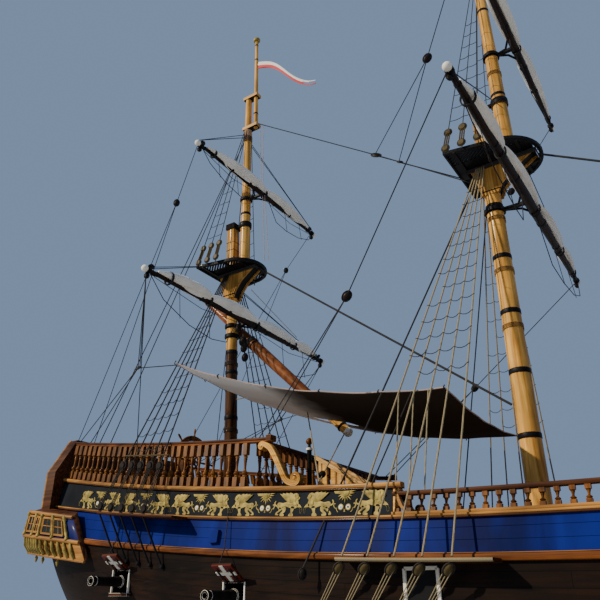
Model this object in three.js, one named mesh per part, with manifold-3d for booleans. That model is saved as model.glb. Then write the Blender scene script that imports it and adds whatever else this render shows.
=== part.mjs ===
// A three-masted wooden sailing ship of an old pattern, afloat with her square sails furled.
// Millimetres. +X runs to the bow, +Y to port and +Z up. The origin is amidships on the waterline.
import * as THREE from 'three';
import { mergeVertices } from 'three/addons/utils/BufferGeometryUtils.js';
import Module from 'manifold-3d';

const wasm = await Module();
wasm.setup();

// Seated pieces keep this gap
const GAP = 0.3;

// Hull, lengthwise
const STERN_X = -12600;
const BREAK_X = -5900;
const FRIEZE_END_X = -2750;
const SHEER_LOW_X = 1000;
const FORECASTLE_X = 7000;
const TUMBLE_END_X = 6000;
const FOREFOOT_X = 8500;
const NOSE_X = 12300;
const BOW_X = 12900;
const BOW_FADE_X = 13200;

// Hull, across and upwards
const HALF_BEAM = 3380;
const STERN_NARROWING = 900;
const STERN_POWER = 2.2;
const BOW_POWER = 3.6;
const KEEL_Z = -2500;
const RABBET_Z = -2200;
const KEEL_HALF = 120;
const WAIST_DECK_Z = 2440;
const WALE_HALF_HEIGHT = 60;
const WALE_PROUD = 70;
const MOULDING = 70;
const MOULDING_PROUD = 55;
const SIDE_THICK = 160;

// The waist is cut this far inside the side, up to this height
const WELL = { inset: 180, top: 5000 };
// Sweep of the stem, swell of the sections above the keel, and their fullness: 2.6 is a full midship section
// and 1 a straight V
const STEM = { rise: 4200, power: 2.5, deep: 300, deeper: 60 };
const SWELL = { from: -5000, over: 7600, least: 180, lift: 2500 };
const FULLNESS = { midship: 2.6, loss: 1.3, aft: 13600, forward: 12000 };

// Inward lean of the side at each line, from the wale upwards
const LEAN = { wale: 0, friezeFoot: 100, friezeHead: 200, rail: 410 };

// Each line of the side rises as a parabola: its lowest height and its lift 10 m away
const line = (lowest, lift) => (x) => lowest + lift * ((x - SHEER_LOW_X) / 10000) ** 2;
const waleLine = line(2509, 477);
const friezeFoot = line(3062, 541);
const friezeHead = line(3625, 637);
const railHead = line(4650, 632);
const quarterdeckLine = line(3575, 637);

// Stations along the side
const STATIONS = [
  STERN_X, -11200, -9800, -8400, -7000, BREAK_X, -4200, FRIEZE_END_X, -1000, SHEER_LOW_X, 3000, 5000,
  FORECASTLE_X, FOREFOOT_X, 9800, 10800, 11600, NOSE_X, BOW_X,
];

// Masts: deck the mast stands on, lower mast foot and head, top, topmast, pole and its truck
const MASTS = {
  mizzen: {
    foot: [-8860, 4150], head: [-9230, 12500], radii: [185, 135], topZ: 10880, topHalf: 980,
    topmast: [[-8711, 10940], [-8825, 17650]], topmastRadii: [165, 100],
    pole: [[-8480, 16170], [-8580, 20150]], poleRadius: 75, bands: [16250, 17560],
  },
  main: {
    foot: [-1180, 2400], head: [-1180, 13300], radii: [235, 175], topZ: 11500, topHalf: 1150,
    topmast: [[-660, 11560], [-700, 19400]], topmastRadii: [190, 115],
    pole: [[-370, 17900], [-410, 23200]], poleRadius: 85, bands: [17980, 19300],
  },
  fore: {
    foot: [9000, 3200], head: [9060, 12700], radii: [215, 160], topZ: 11000, topHalf: 1050,
    topmast: [[9560, 11060], [9580, 18300]], topmastRadii: [175, 105],
    pole: [[9880, 16900], [9900, 21700]], poleRadius: 80, bands: [16980, 18200],
  },
};

// Square yards: the mast part that carries each, and the yard's place, half length and radius
const YARDS = {
  crossjack: { mast: 'mizzen', on: 'lower', x: -8490, z: 9110, half: 3985, radius: 95 },
  mizzen_topsail: { mast: 'mizzen', on: 'topmast', x: -8130, z: 13390, half: 2950, radius: 80 },
  main: { mast: 'main', on: 'lower', x: -400, z: 10200, half: 4900, radius: 115 },
  main_topsail: { mast: 'main', on: 'topmast', x: -60, z: 14800, half: 3700, radius: 95 },
  fore: { mast: 'fore', on: 'lower', x: 9800, z: 9700, half: 4500, radius: 105 },
  fore_topsail: { mast: 'fore', on: 'topmast', x: 10160, z: 14000, half: 3400, radius: 90 },
};
const YARD_TIP = 90;

// Lateen yard: lower forward end, upper aft end, and its radius at its ends and its middle
const LATEEN = {
  low: [-5530, 350, 5640], high: [-10830, 350, 10790], radii: { low: 120, middle: 165, high: 85 },
  slingZ: 8800, sling: 40,
};
// A truss reaches this far into the ring that carries it
const INTO_RING = 15;

// Shrouds: where they spread from under each top, and where they reach the channel. The mizzen shrouds end in
// deadeyes on the channel, the others in tackles below it
const SHROUDS = {
  mizzen: {
    line: friezeFoot, lean: LEAN.friezeFoot, proud: 440, from: -9980, to: -8410, count: 5,
    rise: 30, past: 60, longer: 950, drop: 975, rake: 380, deadeyes: true,
  },
  main: {
    line: waleLine, lean: LEAN.wale, proud: 400, from: -3430, to: -1590, count: 5,
    rise: -30, past: 110, longer: 600, drop: 1150, rake: -950,
  },
  fore: {
    line: waleLine, lean: LEAN.wale, proud: 400, from: 6500, to: 8340, count: 5,
    rise: -30, past: 110, longer: 400, drop: 1050, rake: -700,
  },
};
// Fore ends of the stays, at the main mast, the foremast and the bowsprit
const STAYS = { mizzen: [-1445, 5600], main: [8760, 6100], fore: [15800, 6410] };
const STAY_RADIUS = 28;
const COLLAR = { drop: 115, height: 90, thick: 60, lap: 20 };
// Cheeks, as shares of the top's half breadth: aft and forward reach under the top, and reach at their foot
const CHEEK = { aft: 0.37, fore: 1, foot: 0.18, half: 195, drop: 900, lap: 10 };
// Top, as shares of its half breadth: aft edge, half breadth there, centre and radius of its round front
const TOP = { aft: 0.63, aftHalf: 0.97, centre: 0.3, round: 0.82, thick: 110, sunk: 60 };
const CAP = { half: 165, sunk: 80, high: 110, link: 60, ringLow: 160, ringHigh: 20, ringWall: 40 };
const SHROUD_RADIUS = 24;
const POLE_TAPER = 0.7;
const DEADEYE_RADIUS = 95;
const DEADEYE_SPAN = 1050;
const DEADEYE_HALF = 40;
// Clearance of the lowest deadeyes and of the bare shrouds above the channel, and how near the mast the heads
// of the shrouds gather
const DEADEYE_CLEAR = 12;
const SHROUD_CLEAR = 20;
const SHROUD_GATHER = 0.1;
const CHAIN = { radius: 24, standoff: 40, sunk: 20 };
const CHANNEL = { thick: 70, root: 30, over: 60 };

// Guns and their lids
const PORTS_X = [-9370, -6020];
const PORT = { width: 460, height: 420, depth: 520, clear: 100, drop: 720, lidThick: 60, lidRaised: 35 };
const GUN = { buried: 60, muzzle: 800, breechRadius: 105, muzzleRadius: 80 };
// Moulding above each port that its lid's hinges turn against
const BROW = { half: 290, low: 4, high: 74, root: 120, proud: 18 };
const HINGE = { out: 45, up: 20, spread: 150, half: 30, strap: 14, clear: 30 };
const HOOP = { over: 12, half: 75, wall: 35, ringHalf: 45 };

const UP = new THREE.Vector3(0, 1, 0);

// Half breadth of the hull at the wale
function halfBreadth(x) {
  if (x < SHEER_LOW_X) {
    const aft = (SHEER_LOW_X - x) / (SHEER_LOW_X - STERN_X);
    return HALF_BEAM - STERN_NARROWING * aft ** STERN_POWER;
  }
  const forward = (x - SHEER_LOW_X) / (BOW_FADE_X - SHEER_LOW_X);
  return HALF_BEAM * (1 - forward ** BOW_POWER);
}

// Half breadth further up, where the side leans inward by the given amount; the lean fades at the bow
function side(x, lean) {
  const fade = x < TUMBLE_END_X ? 1 : 1 - 0.9 * (x - TUMBLE_END_X) / (BOW_X - TUMBLE_END_X);
  return halfBreadth(x) - lean * fade;
}

function stationsBetween(from, to) {
  return [from, ...STATIONS.filter((x) => x > from + 200 && x < to - 200), to];
}

// A manifold solid from a closed geometry
function solid(geometry) {
  const bare = geometry.clone();
  bare.deleteAttribute('normal');
  bare.deleteAttribute('uv');
  const merged = mergeVertices(bare, 1e-3);
  return new wasm.Manifold(new wasm.Mesh({
    numProp: 3,
    vertProperties: new Float32Array(merged.attributes.position.array),
    triVerts: new Uint32Array(merged.index.array),
  }));
}

function join(solids) {
  return solids.reduce((whole, next) => whole.add(next));
}

// Triangles that close a flat ring, wound as the ring is
function capFaces(ring) {
  const corner = (i) => new THREE.Vector3(...ring[i % ring.length]);
  const normal = ring.reduce((sum, _, i) => sum.add(corner(i).cross(corner(i + 1))), new THREE.Vector3());
  const size = normal.toArray().map(Math.abs);
  const dropped = size.indexOf(Math.max(...size));
  const contour = ring.map((p) => new THREE.Vector2(...p.filter((_, axis) => axis !== dropped)));
  const turn = Math.sign(THREE.ShapeUtils.area(contour));
  return THREE.ShapeUtils.triangulateShape(contour, []).map((face) => {
    const area = THREE.ShapeUtils.area(face.map((i) => contour[i]));
    return area * turn < 0 ? [face[2], face[1], face[0]] : face;
  });
}

// A solid lofted through closed rings of equal count, with flat ends
function loft(rings) {
  const points = rings.flat(2);
  const faces = [];
  const count = rings[0].length;
  const lastRing = (rings.length - 1) * count;
  for (let i = 0; i < count; i += 1) {
    const next = (i + 1) % count;
    for (let r = 0; r + 1 < rings.length; r += 1) {
      const a = r * count + i;
      const b = r * count + next;
      faces.push(a, b, b + count, a, b + count, a + count);
    }
  }
  capFaces(rings[0]).forEach(([i, j, k]) => faces.push(k, j, i));
  capFaces(rings[rings.length - 1]).forEach((face) => faces.push(...face.map((i) => lastRing + i)));
  let volume = 0;
  const at = (i) => new THREE.Vector3().fromArray(points, 3 * i);
  for (let f = 0; f < faces.length; f += 3) {
    volume += at(faces[f]).dot(at(faces[f + 1]).cross(at(faces[f + 2])));
  }
  if (volume < 0) faces.reverse();
  const geometry = new THREE.BufferGeometry();
  geometry.setAttribute('position', new THREE.Float32BufferAttribute(points, 3));
  geometry.setIndex(faces);
  return solid(geometry);
}

// A tapered round rod between two points
function rod(from, to, radiusFrom, radiusTo = radiusFrom, sides = 8, twist = 0) {
  const a = new THREE.Vector3(...from);
  const b = new THREE.Vector3(...to);
  const along = b.clone().sub(a);
  const geometry = new THREE.CylinderGeometry(radiusTo, radiusFrom, along.length(), sides);
  geometry.rotateY(twist);
  geometry.applyQuaternion(new THREE.Quaternion().setFromUnitVectors(UP, along.clone().normalize()));
  const middle = a.add(b).multiplyScalar(0.5);
  return solid(geometry.translate(middle.x, middle.y, middle.z));
}

function box(low, high) {
  const size = high.map((v, i) => v - low[i]);
  const geometry = new THREE.BoxGeometry(...size);
  return solid(geometry.translate(...low.map((v, i) => v + size[i] / 2)));
}

function ball(centre, radius) {
  return solid(new THREE.SphereGeometry(radius, 7, 5).translate(...centre));
}

// A strip of the side between two height lines, on one side of the ship (-1 starboard, +1 port)
function strip(hand, from, to, foot, head) {
  return loft(stationsBetween(from, to).map((x) => {
    const outFoot = side(x, foot.lean) + foot.proud;
    const outHead = side(x, head.lean) + head.proud;
    const lowZ = foot.line(x) + foot.rise;
    const highZ = head.line(x) + head.rise;
    return [
      [x, hand * outFoot, lowZ],
      [x, hand * outHead, highZ],
      [x, hand * (outHead - head.thick), highZ],
      [x, hand * (outFoot - foot.thick), lowZ],
    ];
  }));
}

// The same strip on both sides, closed across the blunt nose behind the stem
function belt(from, foot, head) {
  const nose = loft([NOSE_X, BOW_X].map((x) => [
    [x, -side(x, foot.lean) - foot.proud, foot.line(x) + foot.rise],
    [x, side(x, foot.lean) + foot.proud, foot.line(x) + foot.rise],
    [x, side(x, head.lean) + head.proud, head.line(x) + head.rise],
    [x, -side(x, head.lean) - head.proud, head.line(x) + head.rise],
  ]));
  return join([strip(-1, from, BOW_X, foot, head), strip(1, from, BOW_X, foot, head), nose]);
}

const edge = (curve, rise, lean, proud, thick = SIDE_THICK) => ({ line: curve, rise, lean, proud, thick });

// Profile of the keel and the stem, and the height where the sections begin to swell from it
function keelLine(x) {
  if (x < FOREFOOT_X) return RABBET_Z;
  return RABBET_Z + STEM.rise * ((x - FOREFOOT_X) / (BOW_X - FOREFOOT_X)) ** STEM.power;
}

function swellLine(x) {
  const aft = Math.max(0, SWELL.from - x) / SWELL.over;
  return keelLine(x) + SWELL.least + SWELL.lift * aft ** 2;
}

function fullness(x) {
  const reach = x < SHEER_LOW_X ? FULLNESS.aft : FULLNESS.forward;
  return FULLNESS.midship - FULLNESS.loss * ((x - SHEER_LOW_X) / reach) ** 2;
}

// Steps of each half section, and how they crowd towards the bilge
const HULL_STEPS = 6;
const HULL_CROWDING = 1.6;

function hullRing(x) {
  const head = waleLine(x) - WALE_HALF_HEIGHT - GAP;
  const low = swellLine(x);
  const half = [];
  for (let k = 0; k <= HULL_STEPS; k += 1) {
    const up = (1 - k / HULL_STEPS) ** HULL_CROWDING;
    const full = (1 - (1 - up) ** fullness(x)) ** (1 / fullness(x));
    half.push([x, Math.max(KEEL_HALF, halfBreadth(x) * full), low + up * (head - low)]);
  }
  half.push([x, KEEL_HALF, keelLine(x)]);
  return [...half.map(([px, y, z]) => [px, -y, z]), ...half.reverse()];
}

// Half breadth of the lower hull at a height
function hullSide(x, z) {
  const head = waleLine(x) - WALE_HALF_HEIGHT - GAP;
  const up = Math.min(1, Math.max(0, (z - swellLine(x)) / (head - swellLine(x))));
  return Math.max(KEEL_HALF, halfBreadth(x) * (1 - (1 - up) ** fullness(x)) ** (1 / fullness(x)));
}

function gunPorts() {
  const cuts = [];
  const guns = [];
  for (const x of PORTS_X) {
    for (const hand of [-1, 1]) {
      const top = waleLine(x) - PORT.drop + PORT.height / 2;
      const outer = hand * (halfBreadth(x) + PORT.clear);
      const inner = hand * (halfBreadth(x) - PORT.depth);
      const [lowY, highY] = [Math.min(outer, inner), Math.max(outer, inner)];
      cuts.push(box([x - PORT.width / 2, lowY, top - PORT.height], [x + PORT.width / 2, highY, top]));
      const centre = top - PORT.height / 2;
      const breech = inner - hand * GUN.buried;
      const muzzle = hand * (halfBreadth(x) + GUN.muzzle);
      guns.push(rod([x, breech, centre], [x, muzzle, centre], GUN.breechRadius, GUN.muzzleRadius, 10));
      const brow = [-BROW.root, BROW.proud].map((out) => hand * (halfBreadth(x) + out)).sort((a, b) => a - b);
      guns.push(box([x - BROW.half, brow[0], top + BROW.low], [x + BROW.half, brow[1], top + BROW.high]));
    }
  }
  return { cuts, guns };
}

function hullLower() {
  const body = loft(STATIONS.map(hullRing));
  const well = loft(stationsBetween(BREAK_X, FORECASTLE_X).map((x) => {
    const half = halfBreadth(x) - WELL.inset;
    return [[x, -half, WAIST_DECK_Z], [x, half, WAIST_DECK_Z], [x, half, WELL.top], [x, -half, WELL.top]];
  }));
  const { cuts, guns } = gunPorts();
  const opened = cuts.reduce((whole, cut) => whole.subtract(cut), body.subtract(well));
  return join([opened, ...guns]);
}

// The quarterdeck and the forecastle are each a solid house inside the sides
const HOUSE_INSET = 20;
function house(from, to, deckLine, deckLean) {
  return loft(stationsBetween(from, to).map((x) => {
    const low = halfBreadth(x) - WELL.inset - GAP;
    const high = side(x, deckLean) - SIDE_THICK - HOUSE_INSET;
    const foot = waleLine(x) - WALE_HALF_HEIGHT;
    return [[x, -low, foot], [x, low, foot], [x, high, deckLine(x)], [x, -high, deckLine(x)]];
  }));
}

const pieces = [];

function add(name, body, color, finish = {}) {
  pieces.push({ name, body, color, roughness: finish.roughness ?? 0.6, metalness: finish.metalness ?? 0 });
  return body;
}

const COLOURS = {
  bottom: 0x3a2213, deck: 0x8a6a45, wale: 0x9a5a22, blue: 0x1c2fa0, black: 0x101014, gold: 0xc99a3a,
  rail: 0x4a2a18, mast: 0xb98a45, canvas: 0xb9bcc0, rope: 0x2a2622, red: 0xb01c1c, brass: 0xb08d40,
};

const channelZ = (spread, x) => spread.line(x) + spread.rise;

// Planks that spread the shrouds, fused to the belt that carries them
function channels(spread) {
  return [-1, 1].map((hand) => {
    const ends = [spread.from - spread.past, (spread.from + spread.to) / 2, spread.to + spread.longer];
    return loft(ends.map((x) => {
      const z = channelZ(spread, x);
      const inner = hand * (side(x, spread.lean) + CHANNEL.root);
      const outer = hand * (side(x, spread.lean) + spread.proud + CHANNEL.over);
      return [[x, inner, z - CHANNEL.thick], [x, outer, z - CHANNEL.thick], [x, outer, z], [x, inner, z]];
    }));
  });
}

function shroudFeet(spread) {
  const feet = [];
  for (let i = 0; i < spread.count; i += 1) {
    feet.push(spread.from + (spread.to - spread.from) * i / (spread.count - 1));
  }
  return feet;
}

// Iron chain plates or rope tackles from the channel's edge down to the side, fused to the channel
function chainPlates(spread) {
  return shroudFeet(spread).flatMap((x) => [-1, 1].map((hand) => {
    const headZ = channelZ(spread, x) - CHAIN.sunk;
    const footX = x + spread.rake;
    const footZ = spread.line(x) - spread.drop;
    return rod(
      [x, hand * (side(x, spread.lean) + spread.proud), headZ],
      [footX, hand * (hullSide(footX, footZ) + CHAIN.standoff), footZ], CHAIN.radius, CHAIN.radius, 4,
    );
  }));
}

// Hull
const hull = add('hull_lower', hullLower(), COLOURS.bottom);

const wale = belt(
  STERN_X,
  edge(waleLine, -WALE_HALF_HEIGHT, LEAN.wale, WALE_PROUD, WALE_PROUD + 180),
  edge(waleLine, WALE_HALF_HEIGHT, LEAN.wale, WALE_PROUD, WALE_PROUD + 180),
);
const waleChannels = [SHROUDS.main, SHROUDS.fore].flatMap(
  (spread) => [...channels(spread), ...chainPlates(spread)],
);
add('main_wale', join([wale, ...waleChannels]), COLOURS.wale);

const strake = belt(
  STERN_X,
  edge(waleLine, WALE_HALF_HEIGHT + GAP, LEAN.wale, 0, 180),
  edge(friezeFoot, 0, LEAN.friezeFoot, 0),
);
add('blue_strake', strake, COLOURS.blue, { roughness: 0.35 });

const sheerRail = belt(
  STERN_X,
  edge(friezeFoot, GAP, LEAN.friezeFoot, MOULDING_PROUD, MOULDING_PROUD + SIDE_THICK),
  edge(friezeFoot, MOULDING, LEAN.friezeFoot, MOULDING_PROUD, MOULDING_PROUD + SIDE_THICK),
);
const mizzenChannels = [...channels(SHROUDS.mizzen), ...chainPlates(SHROUDS.mizzen)];
add('sheer_rail', join([sheerRail, ...mizzenChannels]), COLOURS.wale);

for (const [hand, name] of [[-1, 'frieze_starboard'], [1, 'frieze_port']]) {
  const panel = strip(
    hand, STERN_X, FRIEZE_END_X,
    edge(friezeFoot, MOULDING + GAP, LEAN.friezeFoot, 0),
    edge(friezeHead, -MOULDING, LEAN.friezeHead, 0),
  );
  add(name, panel, COLOURS.black);
}

const foreFrieze = belt(
  FORECASTLE_X,
  edge(friezeFoot, MOULDING + GAP, LEAN.friezeFoot, 0),
  edge(friezeHead, 0, LEAN.friezeHead, 0),
);
add('forecastle_bulwark', foreFrieze, COLOURS.black);

const quarterdeck = add(
  'quarterdeck', house(STERN_X, BREAK_X, quarterdeckLine, LEAN.friezeHead), COLOURS.deck,
);
const forecastle = add(
  'forecastle', house(FORECASTLE_X, NOSE_X, friezeFoot, LEAN.friezeFoot), COLOURS.deck,
);

// Sternpost, and the rudder with a round leading edge that turns against it
const POST = { x: STERN_X - 300, high: 600 };
const STEM_HEAD = { x: BOW_X + 300, half: 150, low: 1350, high: 4300 };
const STEM_KNEE = { x: BOW_X - 60, low: 1320, high: 1900 };
const RUDDER = { axisX: POST.x - 100, radius: 100 - GAP, low: -2450, high: 2050, length: 950, half: 50 };

// Keel, stem and sternpost in one backbone
function backbone() {
  const keel = box([POST.x, -KEEL_HALF, KEEL_Z], [FOREFOOT_X, KEEL_HALF, RABBET_Z - GAP]);
  const post = box([POST.x, -KEEL_HALF, KEEL_Z], [STERN_X - GAP, KEEL_HALF, POST.high]);
  const stemStations = STATIONS.filter((x) => x >= FOREFOOT_X);
  const stem = loft(stemStations.map((x, i) => {
    const inner = keelLine(x) - GAP;
    const outer = inner - STEM.deep - STEM.deeper * i;
    return [[x, -KEEL_HALF, inner], [x, KEEL_HALF, inner], [x, KEEL_HALF, outer], [x, -KEEL_HALF, outer]];
  }));
  const head = box(
    [BOW_X + GAP, -STEM_HEAD.half, STEM_HEAD.low], [STEM_HEAD.x, STEM_HEAD.half, STEM_HEAD.high],
  );
  const knee = box([STEM_KNEE.x, -KEEL_HALF, STEM_KNEE.low], [STEM_HEAD.x, KEEL_HALF, STEM_KNEE.high]);
  return join([keel, post, stem, head, knee.subtract(loft(STATIONS.map(hullRing)))]);
}
add('backbone', backbone(), COLOURS.bottom);

// Columns: height, and length of the blade abaft its axis there
const rudderBlade = loft([
  [RUDDER.low, RUDDER.length], [0, RUDDER.length * 0.8], [600, 420], [RUDDER.high, 300],
].map(([z, length]) => [
  [RUDDER.axisX, -RUDDER.radius, z],
  [RUDDER.axisX, RUDDER.radius, z],
  [RUDDER.axisX - length, RUDDER.half, z],
  [RUDDER.axisX - length, -RUDDER.half, z],
]));
const rudderEdge = rod(
  [RUDDER.axisX, 0, RUDDER.low], [RUDDER.axisX, 0, RUDDER.high], RUDDER.radius, RUDDER.radius, 12,
);
add('rudder', join([rudderBlade, rudderEdge]), COLOURS.bottom);

// Stern: transom panel up to the taffrail, and a quarter gallery on each side between wale and sheer rail
const TRANSOM = { thick: 320, drop: 430, tuck: 60, wide: 130, knuckle: 120, shoulder: 150, taffrail: 60 };
const GALLERY = { low: -10600, high: -11300, full: 300, standoff: 75, proud: 430, foreProud: 130 };
function sternGallery() {
  const back = STERN_X - TRANSOM.thick;
  const rings = [STERN_X - GAP, back].map((x) => {
    // Columns: height and half breadth
    const widths = [
      [waleLine(STERN_X) - TRANSOM.drop, side(STERN_X, 0) - TRANSOM.tuck],
      [waleLine(STERN_X) + TRANSOM.knuckle, side(STERN_X, 0) + TRANSOM.wide],
      [friezeHead(STERN_X) + TRANSOM.shoulder, side(STERN_X, 0) + TRANSOM.wide],
      [railHead(STERN_X) + TRANSOM.taffrail, side(STERN_X, LEAN.rail)],
    ];
    return [...widths.map(([z, y]) => [x, -y, z]), ...widths.reverse().map(([z, y]) => [x, y, z])];
  });
  // Columns: lower and upper place along the ship, and how far the gallery stands out there
  const galleries = [-1, 1].map((hand) => loft([
    [back, back, GALLERY.proud],
    [STERN_X + GALLERY.full, STERN_X + GALLERY.full, GALLERY.proud],
    [GALLERY.low, GALLERY.high, GALLERY.foreProud],
  ].map(([lowX, highX, proud]) => {
    const at = (t, out, z) => {
      const x = lowX + (highX - lowX) * t;
      return [x, hand * (halfBreadth(Math.max(x, STERN_X)) + GALLERY.standoff + proud * out), z(x)];
    };
    return [
      at(0, 0, (x) => waleLine(x) - 330), at(0, 0.55, (x) => waleLine(x) - 430),
      at(0.35, 1, (x) => waleLine(x) - 40), at(1, 0.85, (x) => friezeFoot(x) - 160),
      at(1, 0, (x) => friezeFoot(x) - 20),
    ];
  })));
  return join([loft(rings), ...galleries]);
}
add('stern_gallery', sternGallery(), COLOURS.gold);

// Head: knee of the head with its rails and a carved volute
// Its rails run from beside the stem to a middle point and on to the volute, forward of the knee's root
const HEAD = {
  low: 1500, high: 3050, volute: [2100, 3850, 350], half: 110, bend: [900, 2300, 3150],
  rail: [[250, 3700], [1200, 230, 3650], [2150, 60, 3950]], railRadii: [60, 50], foreRadii: [50, 45],
  lap: 10, railTurn: 2,
};
function headKnee() {
  const profile = new THREE.Shape();
  const root = STEM_HEAD.x + GAP;
  const [reach, eyeZ, eyeRadius] = HEAD.volute;
  const [bendX, bendLow, bendHigh] = HEAD.bend;
  const [[aftY, aftZ], [middleX, middleY, middleZ], [foreX, foreY, foreZ]] = HEAD.rail;
  profile.moveTo(root, HEAD.low);
  profile.quadraticCurveTo(root + bendX, bendLow, root + reach, eyeZ - eyeRadius);
  profile.absarc(root + reach, eyeZ, eyeRadius, -Math.PI / 2, Math.PI * 0.85, false);
  profile.quadraticCurveTo(root + bendX, bendHigh, root, HEAD.high);
  const plate = new THREE.ExtrudeGeometry(
    profile, { depth: 2 * HEAD.half, bevelEnabled: false, curveSegments: 6 },
  );
  const knee = solid(plate.rotateX(Math.PI / 2).translate(0, HEAD.half, 0));
  const rails = [-1, 1].map((hand) => join([
    rod(
      [BOW_X + HEAD.lap, hand * aftY, aftZ], [root + middleX, hand * middleY, middleZ], ...HEAD.railRadii, 6,
    ),
    rod([root + middleX - HEAD.lap, hand * (middleY + HEAD.railTurn), middleZ],
      [root + foreX, hand * foreY, foreZ], ...HEAD.foreRadii, 6),
  ]));
  return join([knee, ...rails]);
}
add('beakhead', headKnee(), COLOURS.gold);

// Balustrades: base rail, balusters and hand rail
const BALUSTER = { pitch: 225, first: 150, last: 60, half: 57, rake: 50, foot: 60, head: 18, into: 60 };
const HAND_RAIL = { deep: 95, proud: 45, thick: 145 };
const CAP_HIGH = 30;
const RAIL_END_X = -5500;
// Block at the hand rail's end: its length, its depth and its reach across, from the side's line
const END_BLOCK = { aft: 110, fore: 10, low: 80, high: 40, inner: 120, outer: 80 };
const CAP_END_X = -2580;
// Square bars turn their flats to the ship's sides
const SQUARE = Math.PI / 4;
const squareRadius = (half) => half * Math.SQRT2;

const capStrip = (hand, from, to) => strip(
  hand, from, to,
  edge(friezeHead, -MOULDING + GAP, LEAN.friezeHead, MOULDING_PROUD, MOULDING_PROUD + SIDE_THICK),
  edge(friezeHead, CAP_HIGH, LEAN.friezeHead, MOULDING_PROUD, MOULDING_PROUD + SIDE_THICK),
);

function sideBalustrade(hand) {
  const rail = strip(
    hand, STERN_X, RAIL_END_X,
    edge(railHead, -HAND_RAIL.deep, LEAN.rail, HAND_RAIL.proud, HAND_RAIL.thick),
    edge(railHead, 0, LEAN.rail, HAND_RAIL.proud, HAND_RAIL.thick),
  );
  const across = [-END_BLOCK.inner, END_BLOCK.outer].map((out) => side(RAIL_END_X, LEAN.rail) + out);
  const [nearY, farY] = across.map((y) => hand * y).sort((a, b) => a - b);
  const top = railHead(RAIL_END_X);
  const block = box(
    [RAIL_END_X - END_BLOCK.aft, nearY, top - END_BLOCK.low],
    [RAIL_END_X + END_BLOCK.fore, farY, top + END_BLOCK.high],
  );
  const posts = [];
  const radius = squareRadius(BALUSTER.half);
  for (let x = STERN_X + BALUSTER.first; x < BREAK_X - BALUSTER.last; x += BALUSTER.pitch) {
    const foot = hand * (side(x, LEAN.friezeHead) - BALUSTER.foot);
    const head = hand * (side(x, LEAN.rail) - BALUSTER.head);
    posts.push(rod(
      [x + BALUSTER.rake, foot, friezeHead(x)], [x - BALUSTER.rake, head, railHead(x) - BALUSTER.into],
      radius, radius, 4, SQUARE,
    ));
  }
  return join([
    capStrip(hand, STERN_X, BREAK_X), capStrip(hand, BREAK_X - 10, CAP_END_X), rail, block, ...posts,
  ]);
}
const sideRails = { starboard: sideBalustrade(-1), port: sideBalustrade(1) };
add('balustrade_starboard', sideRails.starboard, COLOURS.rail);
add('balustrade_port', sideRails.port, COLOURS.rail);

// Low open rail along the waist, on the sheer rail
const WAIST_RAIL = {
  height: 450, lean: 170, proud: 20, thick: 120, deep: 70, sole: 50, pitch: 420, first: 90, last: 60,
  inset: 40, postRadii: [42, 36],
};
function waistRail(hand) {
  const from = FRIEZE_END_X + GAP;
  const to = FORECASTLE_X - GAP;
  const { height, lean, proud, thick, deep, sole, inset } = WAIST_RAIL;
  const foot = strip(
    hand, from, to,
    edge(friezeFoot, MOULDING + GAP, LEAN.friezeFoot, proud, thick),
    edge(friezeFoot, MOULDING + sole, LEAN.friezeFoot, proud, thick),
  );
  const rail = strip(
    hand, from, to,
    edge(friezeFoot, height - deep, lean, proud, thick),
    edge(friezeFoot, height, lean, proud, thick),
  );
  const posts = [];
  for (let x = from + WAIST_RAIL.first; x < to - WAIST_RAIL.last; x += WAIST_RAIL.pitch) {
    const footY = hand * (side(x, LEAN.friezeFoot) - inset);
    const headY = hand * (side(x, lean) - inset);
    const [footZ, headZ] = [MOULDING + sole / 2, height - deep / 2].map((rise) => friezeFoot(x) + rise);
    posts.push(rod([x, footY, footZ], [x, headY, headZ], ...WAIST_RAIL.postRadii, 4));
  }
  return join([foot, rail, ...posts]);
}
add('waist_rail_starboard', waistRail(-1), COLOURS.rail);
add('waist_rail_port', waistRail(1), COLOURS.rail);

// Balustrade across the break, on its own base
const FRONT = { back: 90, half: 80, short: 160, sunk: 60, base: 130, ends: 60 };
function breakBalustrade() {
  const half = side(BREAK_X, LEAN.rail) - FRONT.short;
  const x = BREAK_X - FRONT.back;
  const deck = quarterdeckLine(x);
  const top = railHead(x);
  const parts = [
    box([x - FRONT.half, -half, deck - FRONT.sunk], [x + FRONT.half, half, deck + FRONT.base]),
    box([x - FRONT.half, -half, top - HAND_RAIL.deep], [x + FRONT.half, half, top]),
  ];
  const radius = squareRadius(BALUSTER.half);
  for (let y = -half + FRONT.ends; y <= half - FRONT.ends; y += BALUSTER.pitch) {
    parts.push(rod([x, y, deck + FRONT.base / 2], [x, y, top - BALUSTER.into], radius, radius, 4, SQUARE));
  }
  return join(parts).subtract(quarterdeck.translate(0, 0, GAP));
}
add('balustrade_front', breakBalustrade(), COLOURS.rail);

// A flat scroll in the plane of the side: a band of tapering width along a hand-drawn curve
const SCROLL_STEPS = 36;
function scroll(hand, points, widthFrom, widthTo, thick, y) {
  const curve = new THREE.CatmullRomCurve3(points.map(([x, z]) => new THREE.Vector3(x, 0, z)));
  const rings = [];
  for (let i = 0; i <= SCROLL_STEPS; i += 1) {
    const t = i / SCROLL_STEPS;
    const at = curve.getPointAt(t);
    const along = curve.getTangentAt(t);
    const half = (widthFrom + (widthTo - widthFrom) * t) / 2;
    const across = [-along.z * half, along.x * half];
    rings.push([
      [at.x + across[0], hand * (y + thick / 2), at.z + across[1]],
      [at.x - across[0], hand * (y + thick / 2), at.z - across[1]],
      [at.x - across[0], hand * (y - thick / 2), at.z - across[1]],
      [at.x + across[0], hand * (y - thick / 2), at.z + across[1]],
    ]);
  }
  return loft(rings);
}

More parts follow.
